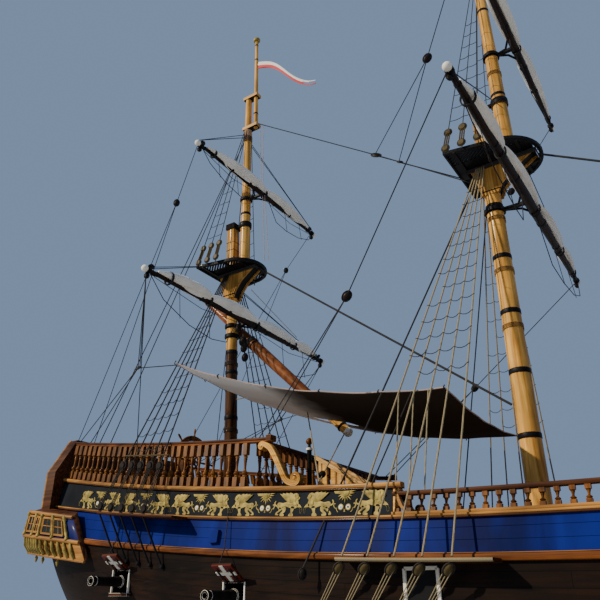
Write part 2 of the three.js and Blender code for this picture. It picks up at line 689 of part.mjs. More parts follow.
// Large double scroll from under the hand rail's end down to the cap of the waist
const SCROLL = {
  width: 100, inner: 60, thick: 140, y: 2830, eye: [-5700, 4740], eyeRadius: 92,
  curl: [-4900, 4045], curlRadius: 84,
};
const SCROLL_POINTS = [
  [-5700, 4790], [-5610, 4775], [-5500, 4690], [-5390, 4530], [-5290, 4350], [-5195, 4170], [-5100, 4020],
  [-5000, 3935], [-4890, 3915], [-4800, 3965], [-4780, 4060], [-4830, 4140], [-4920, 4160], [-4985, 4115],
];
for (const [hand, name] of [[-1, 'starboard'], [1, 'port']]) {
  const disc = (centre, radius) => rod(
    [centre[0], hand * (SCROLL.y - SCROLL.thick / 2), centre[1]],
    [centre[0], hand * (SCROLL.y + SCROLL.thick / 2), centre[1]], radius, radius, 12,
  );
  const band = scroll(hand, SCROLL_POINTS, SCROLL.width, SCROLL.inner, SCROLL.thick, SCROLL.y);
  const whole = join([band, disc(SCROLL.eye, SCROLL.eyeRadius), disc(SCROLL.curl, SCROLL.curlRadius)]);
  const capTop = strip(
    hand, BREAK_X - 10, CAP_END_X,
    edge(friezeHead, -MOULDING, LEAN.friezeHead, MOULDING_PROUD, 4 * SIDE_THICK),
    edge(friezeHead, CAP_HIGH + GAP, LEAN.friezeHead, MOULDING_PROUD, 4 * SIDE_THICK),
  );
  const seated = whole.subtract(capTop).subtract(sideRails[name].translate(0, 0, -GAP));
  add(`scroll_${name}`, seated, COLOURS.gold);
}

// Steps from the quarterdeck down to the waist, with a hand rail on posts at each side
const LADDER = {
  x: BREAK_X + GAP, run: 2300, width: 600, y: -1225, below: 60, foot: 160, board: [200, 30], treads: 8,
  tread: { aft: 140, fore: 60, low: 70, high: 30 },
};
// Hand rail above the ladder's line: its height, half depth and half width, its ends as shares of the run and
// its posts
const LADDER_RAIL = {
  up: 1270, half: 45, across: 45, from: 0.3, to: 0.96, past: 60, posts: [0.32, 0.53, 0.74, 0.95],
  post: [45, 25], into: 90,
};
function ladder() {
  const top = quarterdeckLine(BREAK_X) - LADDER.below;
  const deck = WAIST_DECK_Z + GAP;
  const slope = (top - WAIST_DECK_Z) / LADDER.run;
  const at = (t) => [LADDER.x + LADDER.run * t, top - slope * LADDER.run * t];
  const { up, half, past, post, into } = LADDER_RAIL;
  const [deep, thick] = LADDER.board;
  const sides = [-1, 1].flatMap((hand) => {
    const y = LADDER.y + hand * LADDER.width / 2;
    const end = LADDER.x + LADDER.run;
    const board = loft([y - thick, y + thick].map((across) => [
      [LADDER.x, across, top], [LADDER.x, across, top - deep], [end - LADDER.foot, across, deck],
      [end, across, deck],
    ]));
    const rail = loft([y - LADDER_RAIL.across, y + LADDER_RAIL.across].map((across) => {
      const [[headX, headZ], [endX, endZ]] = [at(LADDER_RAIL.from), at(LADDER_RAIL.to)];
      return [
        [headX - past, across, headZ + slope * past + up + half],
        [headX - past, across, headZ + slope * past + up - half],
        [endX + past, across, endZ - slope * past + up - half],
        [endX + past, across, endZ - slope * past + up + half],
      ];
    }));
    const posts = LADDER_RAIL.posts.map((t) => {
      const [x, z] = at(t);
      return box([x - post[0], y - post[1], Math.max(z - into, deck)], [x + post[0], y + post[1], z + up]);
    });
    return [board, rail, ...posts];
  });
  const treads = [];
  const { aft, fore, low, high } = LADDER.tread;
  for (let i = 1; i < LADDER.treads; i += 1) {
    const [x, z] = at(i / LADDER.treads);
    const across = LADDER.width / 2;
    treads.push(box([x - aft, LADDER.y - across, z - low], [x + fore, LADDER.y + across, z - high]));
  }
  return join([...sides, ...treads]);
}
add('ladder', ladder(), COLOURS.deck);

// Steering wheel on its stand, its axle along the ship
const WHEEL = {
  x: -10250, z: 5390, rim: 620, tube: 42, spoke: 900, spokes: 8, spokeRadii: [28, 22], hub: 95, hubAft: 150,
  hubFore: 90,
};
const STAND = { x: -10560, base: [110, 330, 120], post: [80, 130, 170], root: 200, axle: 60 };
function steeringWheel() {
  const tube = new THREE.TorusGeometry(WHEEL.rim, WHEEL.tube, 5, 16);
  tube.rotateY(Math.PI / 2).translate(WHEEL.x, 0, WHEEL.z);
  const hub = rod(
    [WHEEL.x - WHEEL.hubAft, 0, WHEEL.z], [WHEEL.x + WHEEL.hubFore, 0, WHEEL.z], WHEEL.hub, WHEEL.hub, 10,
  );
  const spokes = [];
  for (let i = 0; i < WHEEL.spokes; i += 1) {
    const turn = 2 * Math.PI * i / WHEEL.spokes;
    const tip = [WHEEL.x, Math.sin(turn) * WHEEL.spoke, WHEEL.z + Math.cos(turn) * WHEEL.spoke];
    spokes.push(rod([WHEEL.x, 0, WHEEL.z], tip, ...WHEEL.spokeRadii, 4));
  }
  return join([solid(tube), hub, ...spokes]);
}
add('steering_wheel', steeringWheel(), COLOURS.rail);

function wheelStand() {
  const foot = quarterdeckLine(STAND.x);
  const low = foot - STAND.root;
  const axleEnd = WHEEL.x - WHEEL.hubAft - GAP;
  const [baseX, baseY, baseHigh] = STAND.base;
  const [postX, postY, over] = STAND.post;
  const stand = join([
    box([STAND.x - baseX, -baseY, low], [STAND.x + baseX, baseY, foot + baseHigh]),
    box([STAND.x - postX, -postY, low], [STAND.x + postX, postY, WHEEL.z + over]),
    rod([STAND.x, 0, WHEEL.z], [axleEnd, 0, WHEEL.z], STAND.axle, STAND.axle, 10),
  ]);
  return stand.subtract(quarterdeck.translate(0, 0, GAP));
}
add('wheel_stand', wheelStand(), COLOURS.rail);

// Capstan, hatch and mooring bitts on the waist deck
// Its base, barrel and drumhead: foot and head above the deck, and radius at each
const CAPSTAN = {
  x: 3900, bars: 6, barReach: 1150, barUp: 880, barRadii: [45, 35],
  drums: [[GAP, 120, 330, 330], [110, 760, 260, 200], [750, 1000, 310, 310]],
};
function capstan() {
  const parts = CAPSTAN.drums.map(([foot, head, footRadius, headRadius]) => rod(
    [CAPSTAN.x, 0, WAIST_DECK_Z + foot], [CAPSTAN.x, 0, WAIST_DECK_Z + head], footRadius, headRadius, 12,
  ));
  const up = WAIST_DECK_Z + CAPSTAN.barUp;
  for (let i = 0; i < CAPSTAN.bars; i += 1) {
    const turn = 2 * Math.PI * i / CAPSTAN.bars;
    const tip = [CAPSTAN.x + CAPSTAN.barReach * Math.cos(turn), CAPSTAN.barReach * Math.sin(turn), up];
    parts.push(rod([CAPSTAN.x, 0, up], tip, ...CAPSTAN.barRadii, 6));
  }
  return join(parts);
}
add('capstan', capstan(), COLOURS.rail);

const HATCH = { x: 1400, half: 800, high: 260, holes: 4, pitch: 350, hole: 280, sole: 180 };
function hatch() {
  const low = WAIST_DECK_Z + GAP;
  const { x: middle, half, high, pitch } = HATCH;
  const frame = box([middle - half, -half, low], [middle + half, half, low + high]);
  const first = -pitch * (HATCH.holes - 1) / 2 - HATCH.hole / 2;
  const holes = [];
  for (let i = 0; i < HATCH.holes; i += 1) {
    for (let j = 0; j < HATCH.holes; j += 1) {
      const x = middle + first + i * pitch;
      const y = first + j * pitch;
      holes.push(box([x, y, low + HATCH.sole], [x + HATCH.hole, y + HATCH.hole, low + high + 1]));
    }
  }
  return holes.reduce((whole, hole) => whole.subtract(hole), frame);
}
add('hatch_grating', hatch(), COLOURS.deck);

const BITTS = {
  x: 6200, postHalf: 120, spread: 700, height: 950, bar: { half: 80, reach: 1050, low: 520, high: 700 },
};
function bitts() {
  const low = WAIST_DECK_Z + GAP;
  const { x, postHalf, spread, height, bar } = BITTS;
  const posts = [-1, 1].map((hand) => box(
    [x - postHalf, hand * spread - postHalf, low], [x + postHalf, hand * spread + postHalf, low + height],
  ));
  const cross = box([x - bar.half, -bar.reach, low + bar.low], [x + bar.half, bar.reach, low + bar.high]);
  return join([...posts, cross]);
}
add('mooring_bitts', bitts(), COLOURS.rail);

// Place on the axis of a spar at a given height
function axisAt([[x0, z0], [x1, z1]], z) {
  return x0 + (x1 - x0) * (z - z0) / (z1 - z0);
}
const lowerAxis = (mast) => [mast.foot, mast.head];
const radiusAt = ([[, z0], [, z1]], [r0, r1], z) => r0 + (r1 - r0) * (z - z0) / (z1 - z0);

// Where a ring on a mast turns: the mast's axis at that height and the radius of the hoop under the ring
function seatOn(mast, on, z) {
  const axis = on === 'lower' ? lowerAxis(mast) : mast.topmast;
  const radii = on === 'lower' ? mast.radii : mast.topmastRadii;
  const ends = (half) => [[axisAt(axis, z - half), 0, z - half], [axisAt(axis, z + half), 0, z + half]];
  return { x: axisAt(axis, z), radius: radiusAt(axis, radii, z) + HOOP.over, ends };
}

// Iron hoops on a mast, one under each ring that turns on it
function hoops(name, on) {
  const carried = Object.values(YARDS).filter((yard) => yard.mast === name && yard.on === on);
  const heights = carried.map((yard) => yard.z);
  if (name === 'mizzen' && on === 'lower') heights.push(LATEEN.slingZ);
  return heights.map((z) => {
    const seat = seatOn(MASTS[name], on, z);
    return rod(...seat.ends(HOOP.half), seat.radius, seat.radius, 12);
  });
}

function mastRing(seat) {
  const bore = (seat.radius + GAP) / Math.cos(Math.PI / 12);
  const inner = rod(...seat.ends(HOOP.half), bore, bore, 12, Math.PI / 12);
  const outer = rod(...seat.ends(HOOP.ringHalf), bore + HOOP.wall, bore + HOOP.wall, 12);
  return { bore, body: outer.subtract(inner) };
}

function lowerMast(name, deck) {
  const mast = MASTS[name];
  const [[fx, fz], [hx, hz]] = lowerAxis(mast);
  const pole = rod([fx, 0, fz], [hx, 0, hz], mast.radii[0], mast.radii[1], 12);
  const ringX = axisAt(mast.topmast, hz);
  const ringRadius = radiusAt(mast.topmast, mast.topmastRadii, hz) + CAP.ringWall;
  const cap = join([
    box([hx - CAP.half, -CAP.half, hz - CAP.sunk], [hx + CAP.half, CAP.half, hz + CAP.high]),
    box([hx, -CAP.link, hz - CAP.link], [ringX, CAP.link, hz]),
    rod([ringX, 0, hz - CAP.ringLow], [ringX, 0, hz + CAP.ringHigh], ringRadius, ringRadius, 12),
  ]);
  const hole = topmastSpar(mast, GAP);
  return join([pole, cap, ...hoops(name, 'lower')]).subtract(hole).subtract(deck.translate(0, 0, GAP));
}

function topmastSpar(mast, grow) {
  const [[fx, fz], [hx, hz]] = mast.topmast;
  const [r0, r1] = mast.topmastRadii;
  return rod([fx, 0, fz - grow], [hx, 0, hz + grow], r0 + grow, r1 + grow, 12);
}

function polePart(mast, grow) {
  const [[px, pz], [tx, tz]] = mast.pole;
  return rod([px, 0, pz], [tx, 0, tz], mast.poleRadius + grow, mast.poleRadius * POLE_TAPER + grow, 8);
}

const BAND = { aft: 150, fore: 120, half: 130, high: 60 };
const TRUCK = { radius: 120, up: 90 };
function topmast(name) {
  const mast = MASTS[name];
  const [, [tx, tz]] = mast.pole;
  const spar = topmastSpar(mast, 0);
  const bands = mast.bands.map((z) => {
    const back = axisAt(mast.topmast, z);
    const front = axisAt(mast.pole, z);
    return box([back - BAND.aft, -BAND.half, z - BAND.high], [front + BAND.fore, BAND.half, z + BAND.high]);
  });
  const pole = polePart(mast, 0);
  const truck = ball([tx, 0, tz + TRUCK.up], TRUCK.radius);
  return join([spar, ...bands, pole, truck, ...hoops(name, 'topmast')]);
}

// Cheeks that carry a top: they reach forward under it and taper down to the mast
function cheeks(mast, grow) {
  const x = axisAt(lowerAxis(mast), mast.topZ);
  const { aft, fore, foot, half, drop } = CHEEK;
  const lowZ = mast.topZ - drop;
  const rings = [
    [lowZ, axisAt(lowerAxis(mast), lowZ), foot, foot], [mast.topZ - TOP.sunk + CHEEK.lap, x, aft, fore],
  ];
  return loft(rings.map(([z, middle, back, front]) => {
    const low = middle - back * mast.topHalf - grow;
    const high = middle + front * mast.topHalf + grow;
    const wide = half + grow;
    return [[low, -wide, z], [high, -wide, z], [high, wide, z], [low, wide, z]];
  }));
}

// Top: a platform with a straight aft edge and a round front, on its cheeks, about the masthead
function topPlatform(mast) {
  const x = axisAt(lowerAxis(mast), mast.topZ);
  const half = mast.topHalf;
  const outline = new THREE.Shape();
  outline.moveTo(x - half * TOP.aft, -half * TOP.aftHalf);
  outline.lineTo(x + half * TOP.centre, -half * TOP.round);
  outline.absarc(x + half * TOP.centre, 0, half * TOP.round, -Math.PI / 2, Math.PI / 2, false);
  outline.lineTo(x - half * TOP.aft, half * TOP.aftHalf);
  const plate = new THREE.ExtrudeGeometry(
    outline, { depth: TOP.thick, bevelEnabled: false, curveSegments: 8 },
  );
  const platform = solid(plate.translate(0, 0, mast.topZ - TOP.sunk));
  const cheek = cheeks(mast, 0);
  const [[fx, fz], [hx, hz]] = lowerAxis(mast);
  const core = rod([fx, 0, fz], [hx, 0, hz], mast.radii[0] + GAP, mast.radii[1] + GAP, 12);
  return join([platform, cheek]).subtract(core);
}

const deckOf = { mizzen: quarterdeck, main: hull, fore: forecastle };
const spars = {};
for (const [name, mast] of Object.entries(MASTS)) {
  spars[name] = add(`${name}_lower_mast`, lowerMast(name, deckOf[name]), COLOURS.mast);
  add(`${name}_top`, topPlatform(mast), COLOURS.black);
  add(`${name}_topmast`, topmast(name), COLOURS.mast);
}

// Bowsprit, from the forecastle out over the head, with its jib boom
const BOWSPRIT = {
  heel: [11000, 3700], tip: [18300, 7450], radii: [220, 130],
  jibHeel: [16000, 6500], jibTip: [21300, 9150], jibRadii: [110, 60],
};
function bowsprit() {
  const [hx, hz] = BOWSPRIT.heel;
  const [tx, tz] = BOWSPRIT.tip;
  const spar = rod([hx, 0, hz], [tx, 0, tz], ...BOWSPRIT.radii, 12);
  const [jx, jz] = BOWSPRIT.jibHeel;
  const [kx, kz] = BOWSPRIT.jibTip;
  const boom = rod([jx, 0, jz], [kx, 0, kz], ...BOWSPRIT.jibRadii, 8);
  const carriers = [forecastle, foreFrieze, sheerRail].map((body) => body.translate(0, 0, GAP));
  return carriers.reduce((whole, body) => whole.subtract(body), join([spar, boom]));
}
add('bowsprit', bowsprit(), COLOURS.mast);

// Square yards with their iron trusses, and the furled sails on them
const ARM = { lap: 20, taper: 0.5 };
const TRUSS = { half: 45, high: 40 };
function yardSpar(yard, grow = 0) {
  const { x, z, half, radius } = yard;
  const arms = [-1, 1].map((hand) => rod(
    [x, -hand * ARM.lap, z], [x, hand * (half + grow), z], radius + grow, radius * ARM.taper + grow, 8,
  ));
  return join(arms);
}

function yardBody(yard) {
  const seat = seatOn(MASTS[yard.mast], yard.on, yard.z);
  const { bore, body } = mastRing(seat);
  const truss = box(
    [seat.x + bore + INTO_RING, -TRUSS.half, yard.z - TRUSS.high], [yard.x, TRUSS.half, yard.z + TRUSS.high],
  );
  const tips = [-1, 1].map((hand) => ball([yard.x, hand * yard.half, yard.z], YARD_TIP));
  return join([yardSpar(yard), body, truss, ...tips]);
}

// Furled sail: a bundle that lies along the top of its yard, slimmer at the mast and thin towards the tips.
// The swells are its radius from the mast outwards
const FURL = { reach: 0.9, rest: 0.5, flat: 0.8, fore: 30, sides: 8, swells: [140, 185, 200, 165, 80] };
function furledSail(yard) {
  const rings = [];
  const last = FURL.swells.length - 1;
  for (let i = -last; i <= last; i += 1) {
    const y = yard.half * FURL.reach * i / last;
    const swell = FURL.swells[Math.abs(i)];
    const top = yard.radius * (1 - ARM.taper * Math.abs(y) / yard.half);
    const centreZ = yard.z + top + swell * FURL.rest;
    const ringPoints = [];
    for (let k = 0; k < FURL.sides; k += 1) {
      const turn = 2 * Math.PI * k / FURL.sides;
      ringPoints.push([
        yard.x + FURL.fore + swell * Math.cos(turn), y, centreZ + swell * FURL.flat * Math.sin(turn),
      ]);
    }
    rings.push(ringPoints);
  }
  return loft(rings).subtract(yardSpar(yard, GAP));
}

for (const [name, yard] of Object.entries(YARDS)) {
  add(`${name}_yard`, yardBody(yard), COLOURS.mast);
  add(`${name}_sail`, furledSail(yard), COLOURS.canvas, { roughness: 0.9 });
}

// Lateen yard beside the mizzen mast, slung from a ring that turns on the mast
function lateenYard() {
  const { low, high, radii, slingZ, sling } = LATEEN;
  const middle = low.map((v, i) => (v + high[i]) / 2);
  const share = (slingZ - low[2]) / (high[2] - low[2]);
  const crossing = low.map((v, i) => v + (high[i] - v) * share);
  const seat = seatOn(MASTS.mizzen, 'lower', slingZ);
  const { bore, body } = mastRing(seat);
  const away = new THREE.Vector3(crossing[0] - seat.x, crossing[1], 0).setLength(bore + INTO_RING);
  return join([
    rod(low, middle, radii.low, radii.middle, 10), rod(middle, high, radii.middle, radii.high, 10),
    ball(low, radii.low), ball(high, radii.high),
    body, rod([seat.x + away.x, away.y, slingZ], crossing, sling, sling, 6),
  ]);
}
add('lateen_yard', lateenYard(), COLOURS.rail);

// Shrouds with deadeyes from a collar under the top, and the stay to the next mast or the bowsprit
function rigging(name) {
  const mast = MASTS[name];
  const spread = SHROUDS[name];
  const stay = STAYS[name];
  const x = axisAt(lowerAxis(mast), mast.topZ);
  const collarZ = mast.topZ - COLLAR.drop;
  const [aft, fore] = [CHEEK.aft, CHEEK.fore].map((share) => share * mast.topHalf);
  const across = CHEEK.half + COLLAR.thick;
  const outer = box(
    [x - aft - COLLAR.thick, -across, collarZ - COLLAR.height / 2],
    [x + fore + COLLAR.thick, across, collarZ + COLLAR.height / 2],
  );
  const parts = [outer.subtract(cheeks(mast, GAP))];
  for (const foot of shroudFeet(spread)) {
    for (const hand of [-1, 1]) {
      const reachOut = hand * (side(foot, spread.lean) + spread.proud);
      const clear = spread.deadeyes ? DEADEYE_RADIUS + DEADEYE_CLEAR : SHROUD_CLEAR;
      const foothold = [foot, reachOut, channelZ(spread, foot) + clear];
      const head = [x + (foot - x) * SHROUD_GATHER, hand * (across - COLLAR.lap), collarZ];
      const span = new THREE.Vector3(...head).sub(new THREE.Vector3(...foothold));
      const upper = new THREE.Vector3(...foothold).addScaledVector(span, DEADEYE_SPAN / span.length());
      parts.push(rod(foothold, head, SHROUD_RADIUS, SHROUD_RADIUS, 4));
      for (const [px, py, pz] of spread.deadeyes ? [foothold, upper.toArray()] : []) {
        const ends = [-DEADEYE_HALF, DEADEYE_HALF].map((out) => [px, py + out, pz]);
        parts.push(rod(...ends, DEADEYE_RADIUS, DEADEYE_RADIUS, 6));
      }
    }
  }
  const stayFoot = [stay[0], 0, stay[1]];
  parts.push(rod([x + fore + COLLAR.thick / 2, 0, collarZ], stayFoot, STAY_RADIUS, STAY_RADIUS, 6));
  return join(parts);
}
add('mizzen_rigging', rigging('mizzen'), COLOURS.rope, { roughness: 0.95 });
add('main_rigging', rigging('main'), COLOURS.rope, { roughness: 0.95 });
add('fore_rigging', rigging('fore'), COLOURS.rope, { roughness: 0.95 });

// Gun port lids with two hinge straps each, raised on knuckles that turn against the moulding above the port
function portLid(x, hand) {
  const top = waleLine(x) - PORT.drop + PORT.height / 2;
  const axis = [halfBreadth(x) + HINGE.out, top + HINGE.up];
  const reach = [HINGE.clear, HINGE.clear + PORT.height].map((v) => hand * v).sort((a, b) => a - b);
  const board = box([-PORT.width / 2, reach[0], 0], [PORT.width / 2, reach[1], PORT.lidThick]);
  const straps = [-1, 1].flatMap((end) => {
    const across = [0, hand * (HINGE.clear + PORT.height * 0.8)].sort((a, b) => a - b);
    const middle = end * HINGE.spread;
    const knuckle = HINGE.out - BROW.proud - GAP;
    return [
      box([middle - HINGE.half, across[0], -HINGE.strap], [middle + HINGE.half, across[1], 6]),
      rod([middle - HINGE.half, 0, 0], [middle + HINGE.half, 0, 0], knuckle, knuckle, 16),
    ];
  });
  const lid = join([board, ...straps]).rotate([hand * PORT.lidRaised, 0, 0]);
  return lid.translate([x, hand * axis[0], axis[1]]);
}
PORTS_X.forEach((x, i) => {
  for (const [hand, name] of [[-1, 'starboard'], [1, 'port']]) {
    add(`port_lid_${name}_${i + 1}`, portLid(x, hand), COLOURS.red);
  }
});

// Awning: a sagging sheet between the mizzen mast and the main mast
const AWNING = {
  aft: -8500, fore: -2000, half: 2700, thick: 30, high: 7100, fall: 2900, belly: 1300, camber: 180,
  narrowing: 0.15,
};
const AWNING_STEPS = { along: 6, across: 3 };
const AWNING_SLOT = { x: -5880, reach: 520, from: 110, to: 590, low: 4000, high: 8000 };
const AWNING_LASHING = { z: 6905, inside: 30, radius: 14 };
function awning() {
  const rings = [];
  const { along, across } = AWNING_STEPS;
  for (let i = 0; i <= along; i += 1) {
    const t = i / along;
    const x = AWNING.aft + (AWNING.fore - AWNING.aft) * t;
    const z = AWNING.high - AWNING.fall * t + AWNING.belly * t * t;
    const upper = [];
    for (let j = -across; j <= across; j += 1) {
      const y = AWNING.half * j / across * (1 - AWNING.narrowing * t);
      upper.push([x, y, z - AWNING.camber * (1 - (j / across) ** 2)]);
    }
    const lower = upper.map(([px, py, pz]) => [px, py, pz - AWNING.thick]).reverse();
    rings.push([...upper, ...lower]);
  }
  const { x, reach, from, to, low, high } = AWNING_SLOT;
  const sheet = loft(rings).subtract(box([x - reach, from, low], [x + reach, to, high]));
  const { z, inside, radius } = AWNING_LASHING;
  const mastX = axisAt(lowerAxis(MASTS.mizzen), z);
  const lashing = rod([AWNING.aft + inside, 0, z], [mastX, 0, z], radius, radius, 6);
  return join([sheet, lashing.subtract(spars.mizzen.translate(GAP, 0, 0))]);
}
add('awning', awning(), COLOURS.canvas, { roughness: 0.9 });

// Pennant at the mizzen pole
const PENNANT = { x: -8560, z: 19150, length: 2480, height: 330, taper: 0.5, drop: 2150, wave: 300, half: 8 };
const pennantRings = [0, 0.25, 0.5, 0.75, 1].map((t) => {
  const x = PENNANT.x + PENNANT.length * t;
  const z = PENNANT.z - PENNANT.drop * t + PENNANT.wave * Math.sin(t * Math.PI * 2);
  const low = z - PENNANT.height * (1 - PENNANT.taper * t);
  const { half } = PENNANT;
  return [[x, -half, z], [x, half, z], [x, half, low], [x, -half, low]];
});
const pennantSheet = loft(pennantRings).subtract(polePart(MASTS.mizzen, GAP));
add('pennant', pennantSheet, COLOURS.red, { roughness: 0.9 });

// The scene graph: one named mesh for each piece
const ship = new THREE.Group();
ship.name = 'tall_ship';
for (const { name, body, color, roughness, metalness } of pieces) {
  const { vertProperties, triVerts } = body.getMesh();
  const geometry = new THREE.BufferGeometry();
  geometry.setAttribute('position', new THREE.BufferAttribute(new Float32Array(vertProperties), 3));
  geometry.setIndex(new THREE.BufferAttribute(new Uint32Array(triVerts), 1));
  geometry.computeVertexNormals();
  const material = new THREE.MeshStandardMaterial({ color, roughness, metalness });
  const mesh = new THREE.Mesh(geometry, material);
  mesh.name = name;
  ship.add(mesh);
}

export default ship;
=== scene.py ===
import math

import bmesh
import bpy
from mathutils import Matrix, Vector, noise


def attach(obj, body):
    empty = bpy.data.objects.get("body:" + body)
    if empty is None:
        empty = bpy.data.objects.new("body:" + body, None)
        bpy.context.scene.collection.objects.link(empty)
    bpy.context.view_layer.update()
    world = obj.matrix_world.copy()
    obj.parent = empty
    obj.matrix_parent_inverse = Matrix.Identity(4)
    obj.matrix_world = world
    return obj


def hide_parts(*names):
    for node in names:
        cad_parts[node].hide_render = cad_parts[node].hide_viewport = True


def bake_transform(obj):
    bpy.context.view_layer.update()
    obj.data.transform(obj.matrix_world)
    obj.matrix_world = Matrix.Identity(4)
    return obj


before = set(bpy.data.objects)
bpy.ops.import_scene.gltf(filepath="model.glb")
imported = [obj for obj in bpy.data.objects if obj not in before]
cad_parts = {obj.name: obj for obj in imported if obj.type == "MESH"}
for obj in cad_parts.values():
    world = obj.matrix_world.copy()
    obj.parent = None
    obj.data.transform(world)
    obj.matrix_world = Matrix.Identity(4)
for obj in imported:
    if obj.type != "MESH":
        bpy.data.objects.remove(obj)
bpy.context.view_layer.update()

BOTH = (-1, 1)
HANDS = ((-1, "starboard"), (1, "port"))
SQUARE = ((-1, -1), (1, -1), (1, 1), (-1, 1))


def angles(count, shift=0.0):
    """Angles evenly round a circle; shift is a share of one step."""
    return [2 * math.pi * (k + shift) / count for k in range(count)]


def sweep(start, end, count):
    """Angles from start to end in degrees, given as radians."""
    return [math.radians(start + (end - start) * k / count) for k in range(count + 1)]


def ring_at(centre, u, v, radius, count):
    """Points on a circle in the plane of the unit vectors u and v."""
    return [centre + (u * math.cos(a) + v * math.sin(a)) * radius for a in angles(count)]


# Camera, low down beside the ship and ahead of its middle, looking up and aft
camera = bpy.data.objects.new("camera", bpy.data.cameras.new("camera"))
camera.data.sensor_width = 36
camera.data.lens = 37.92
camera.location = (2.0, -13.0, 2.0)
camera.rotation_euler = (math.radians(90 + 25.2), 0, math.radians(33.8))
bpy.context.scene.collection.objects.link(camera)
bpy.context.scene.camera = camera


# Materials. Coats are laid on thin, at these shares of the coat stated, so that flat faces don't glare
WOOD_COAT, PAINT_COAT = 0.12, 0.2
PLANK, DECK_PLANK = 0.21, 0.13


class Nodes:
    """A material and short calls that add nodes to it."""

    def __init__(self, name, **values):
        self.mat = bpy.data.materials.new(name)
        self.mat.use_nodes = True
        self.tree = self.mat.node_tree
        self.shader = self.tree.nodes["Principled BSDF"]
        for key, value in values.items():
            self.shader.inputs[key.replace("_", " ")].default_value = value
        self.place = self.add("ShaderNodeTexCoord").outputs["Object"]

    def add(self, kind, links=(), **settings):
        node = self.tree.nodes.new(kind)
        for key, value in settings.items():
            setattr(node, key, value)
        for key, value in dict(links).items():
            if isinstance(value, bpy.types.NodeSocket):
                self.tree.links.new(value, node.inputs[key])
            else:
                node.inputs[key].default_value = value
        return node

    def math(self, operation, a, b=0.0, c=0.0):
        return self.add("ShaderNodeMath", {0: a, 1: b, 2: c}, operation=operation).outputs[0]

    def scaled(self, scale):
        return self.add("ShaderNodeVectorMath", {0: self.place, 1: scale}, operation="MULTIPLY").outputs[0]

    def noise(self, scale, size=1.0, detail=5.0, distortion=0.0):
        links = {"Vector": self.scaled(scale), "Scale": size, "Detail": detail, "Distortion": distortion}
        return self.add("ShaderNodeTexNoise", links).outputs["Fac"]

    def ramp(self, fac, stops):
        node = self.add("ShaderNodeValToRGB", {0: fac})
        elements = node.color_ramp.elements
        while len(elements) < len(stops):
            elements.new(0.5)
        for element, (position, colour) in zip(elements, stops):
            element.position = position
            element.color = (*colour, 1)
        return node.outputs[0]

    def mix(self, fac, a, b, blend="MIX"):
        node = self.add("ShaderNodeMix", data_type="RGBA", blend_type=blend)
        for socket, value in ((node.inputs[0], fac), (node.inputs[6], a), (node.inputs[7], b)):
            if isinstance(value, bpy.types.NodeSocket):
                self.tree.links.new(value, socket)
            else:
                socket.default_value = value if isinstance(value, float) else (*value, 1)
        return node.outputs[2]

    def colour(self, socket):
        self.tree.links.new(socket, self.shader.inputs["Base Color"])

    def rough(self, socket):
        self.tree.links.new(socket, self.shader.inputs["Roughness"])

    def bump(self, height, strength, distance):
        links = {"Height": height, "Strength": strength, "Distance": distance}
        bump = self.add("ShaderNodeBump", links)
        self.tree.links.new(bump.outputs[0], self.shader.inputs["Normal"])


def wood(name, dark, light, grain, rough, coat, strength, painted_dapple_shade, seams=None):
    """Wood with grain along the axis whose scale is small, darkened in broad patches by painted dappled
    shade; seams is a function that returns a seam mask.
    """
    n = Nodes(name, Coat_Weight=coat * WOOD_COAT, Coat_Roughness=0.12, Specular_IOR_Level=0.08)
    fine = n.noise(grain, 1.0, 6.0, 0.6)
    broad = n.noise((0.7, 0.7, 0.7), 1.3, 3.0, 0.4)
    colour = n.ramp(fine, [(0.3, dark), (0.7, light)])
    # Painted dappled shade: broad patches that darken the wood's colour
    shade = n.ramp(broad, [(0.35, (1 - painted_dapple_shade,) * 3), (0.65, (1, 1, 1))])
    colour = n.mix(1.0, colour, shade, "MULTIPLY")
    height = fine
    if seams:
        mask = seams(n)
        colour = n.mix(mask, colour, tuple(c * 0.12 for c in dark))
        height = n.math("SUBTRACT", n.math("MULTIPLY", fine, 0.3), mask)
    n.colour(colour)
    n.rough(n.math("MULTIPLY_ADD", fine, 0.25, rough - 0.1))
    n.bump(height, strength, 0.012)
    return n.mat


def line_mask(n, value, width, thin):
    """1 on a thin line at each whole width of the value."""
    part = n.math("FRACT", n.math("DIVIDE", value, width))
    return n.math("LESS_THAN", part, thin / width)


def hull_seams(n):
    """Seams of the side planking, which follow the sheer, and staggered butts."""
    axes = n.add("ShaderNodeSeparateXYZ", {0: n.place})
    x, z = axes.outputs[0], axes.outputs[2]
    along = n.math("MULTIPLY_ADD", x, 0.1, -0.1)
    height = n.math("MULTIPLY_ADD", n.math("MULTIPLY", along, along), -0.477, z)
    strake = n.math("FLOOR", n.math("DIVIDE", height, PLANK))
    shifted = n.math("MULTIPLY_ADD", strake, 2.37, x)
    return n.math("MAXIMUM", line_mask(n, height, PLANK, 0.007), line_mask(n, shifted, 5.9, 0.008))


def deck_seams(n):
    """Seams between the deck planks, and staggered butts."""
    axes = n.add("ShaderNodeSeparateXYZ", {0: n.place})
    x, y = axes.outputs[0], axes.outputs[1]
    plank = n.math("FLOOR", n.math("DIVIDE", y, DECK_PLANK))
    shifted = n.math("MULTIPLY_ADD", plank, 1.63, x)
    return n.math("MAXIMUM", line_mask(n, y, DECK_PLANK, 0.008), line_mask(n, shifted, 4.4, 0.008))


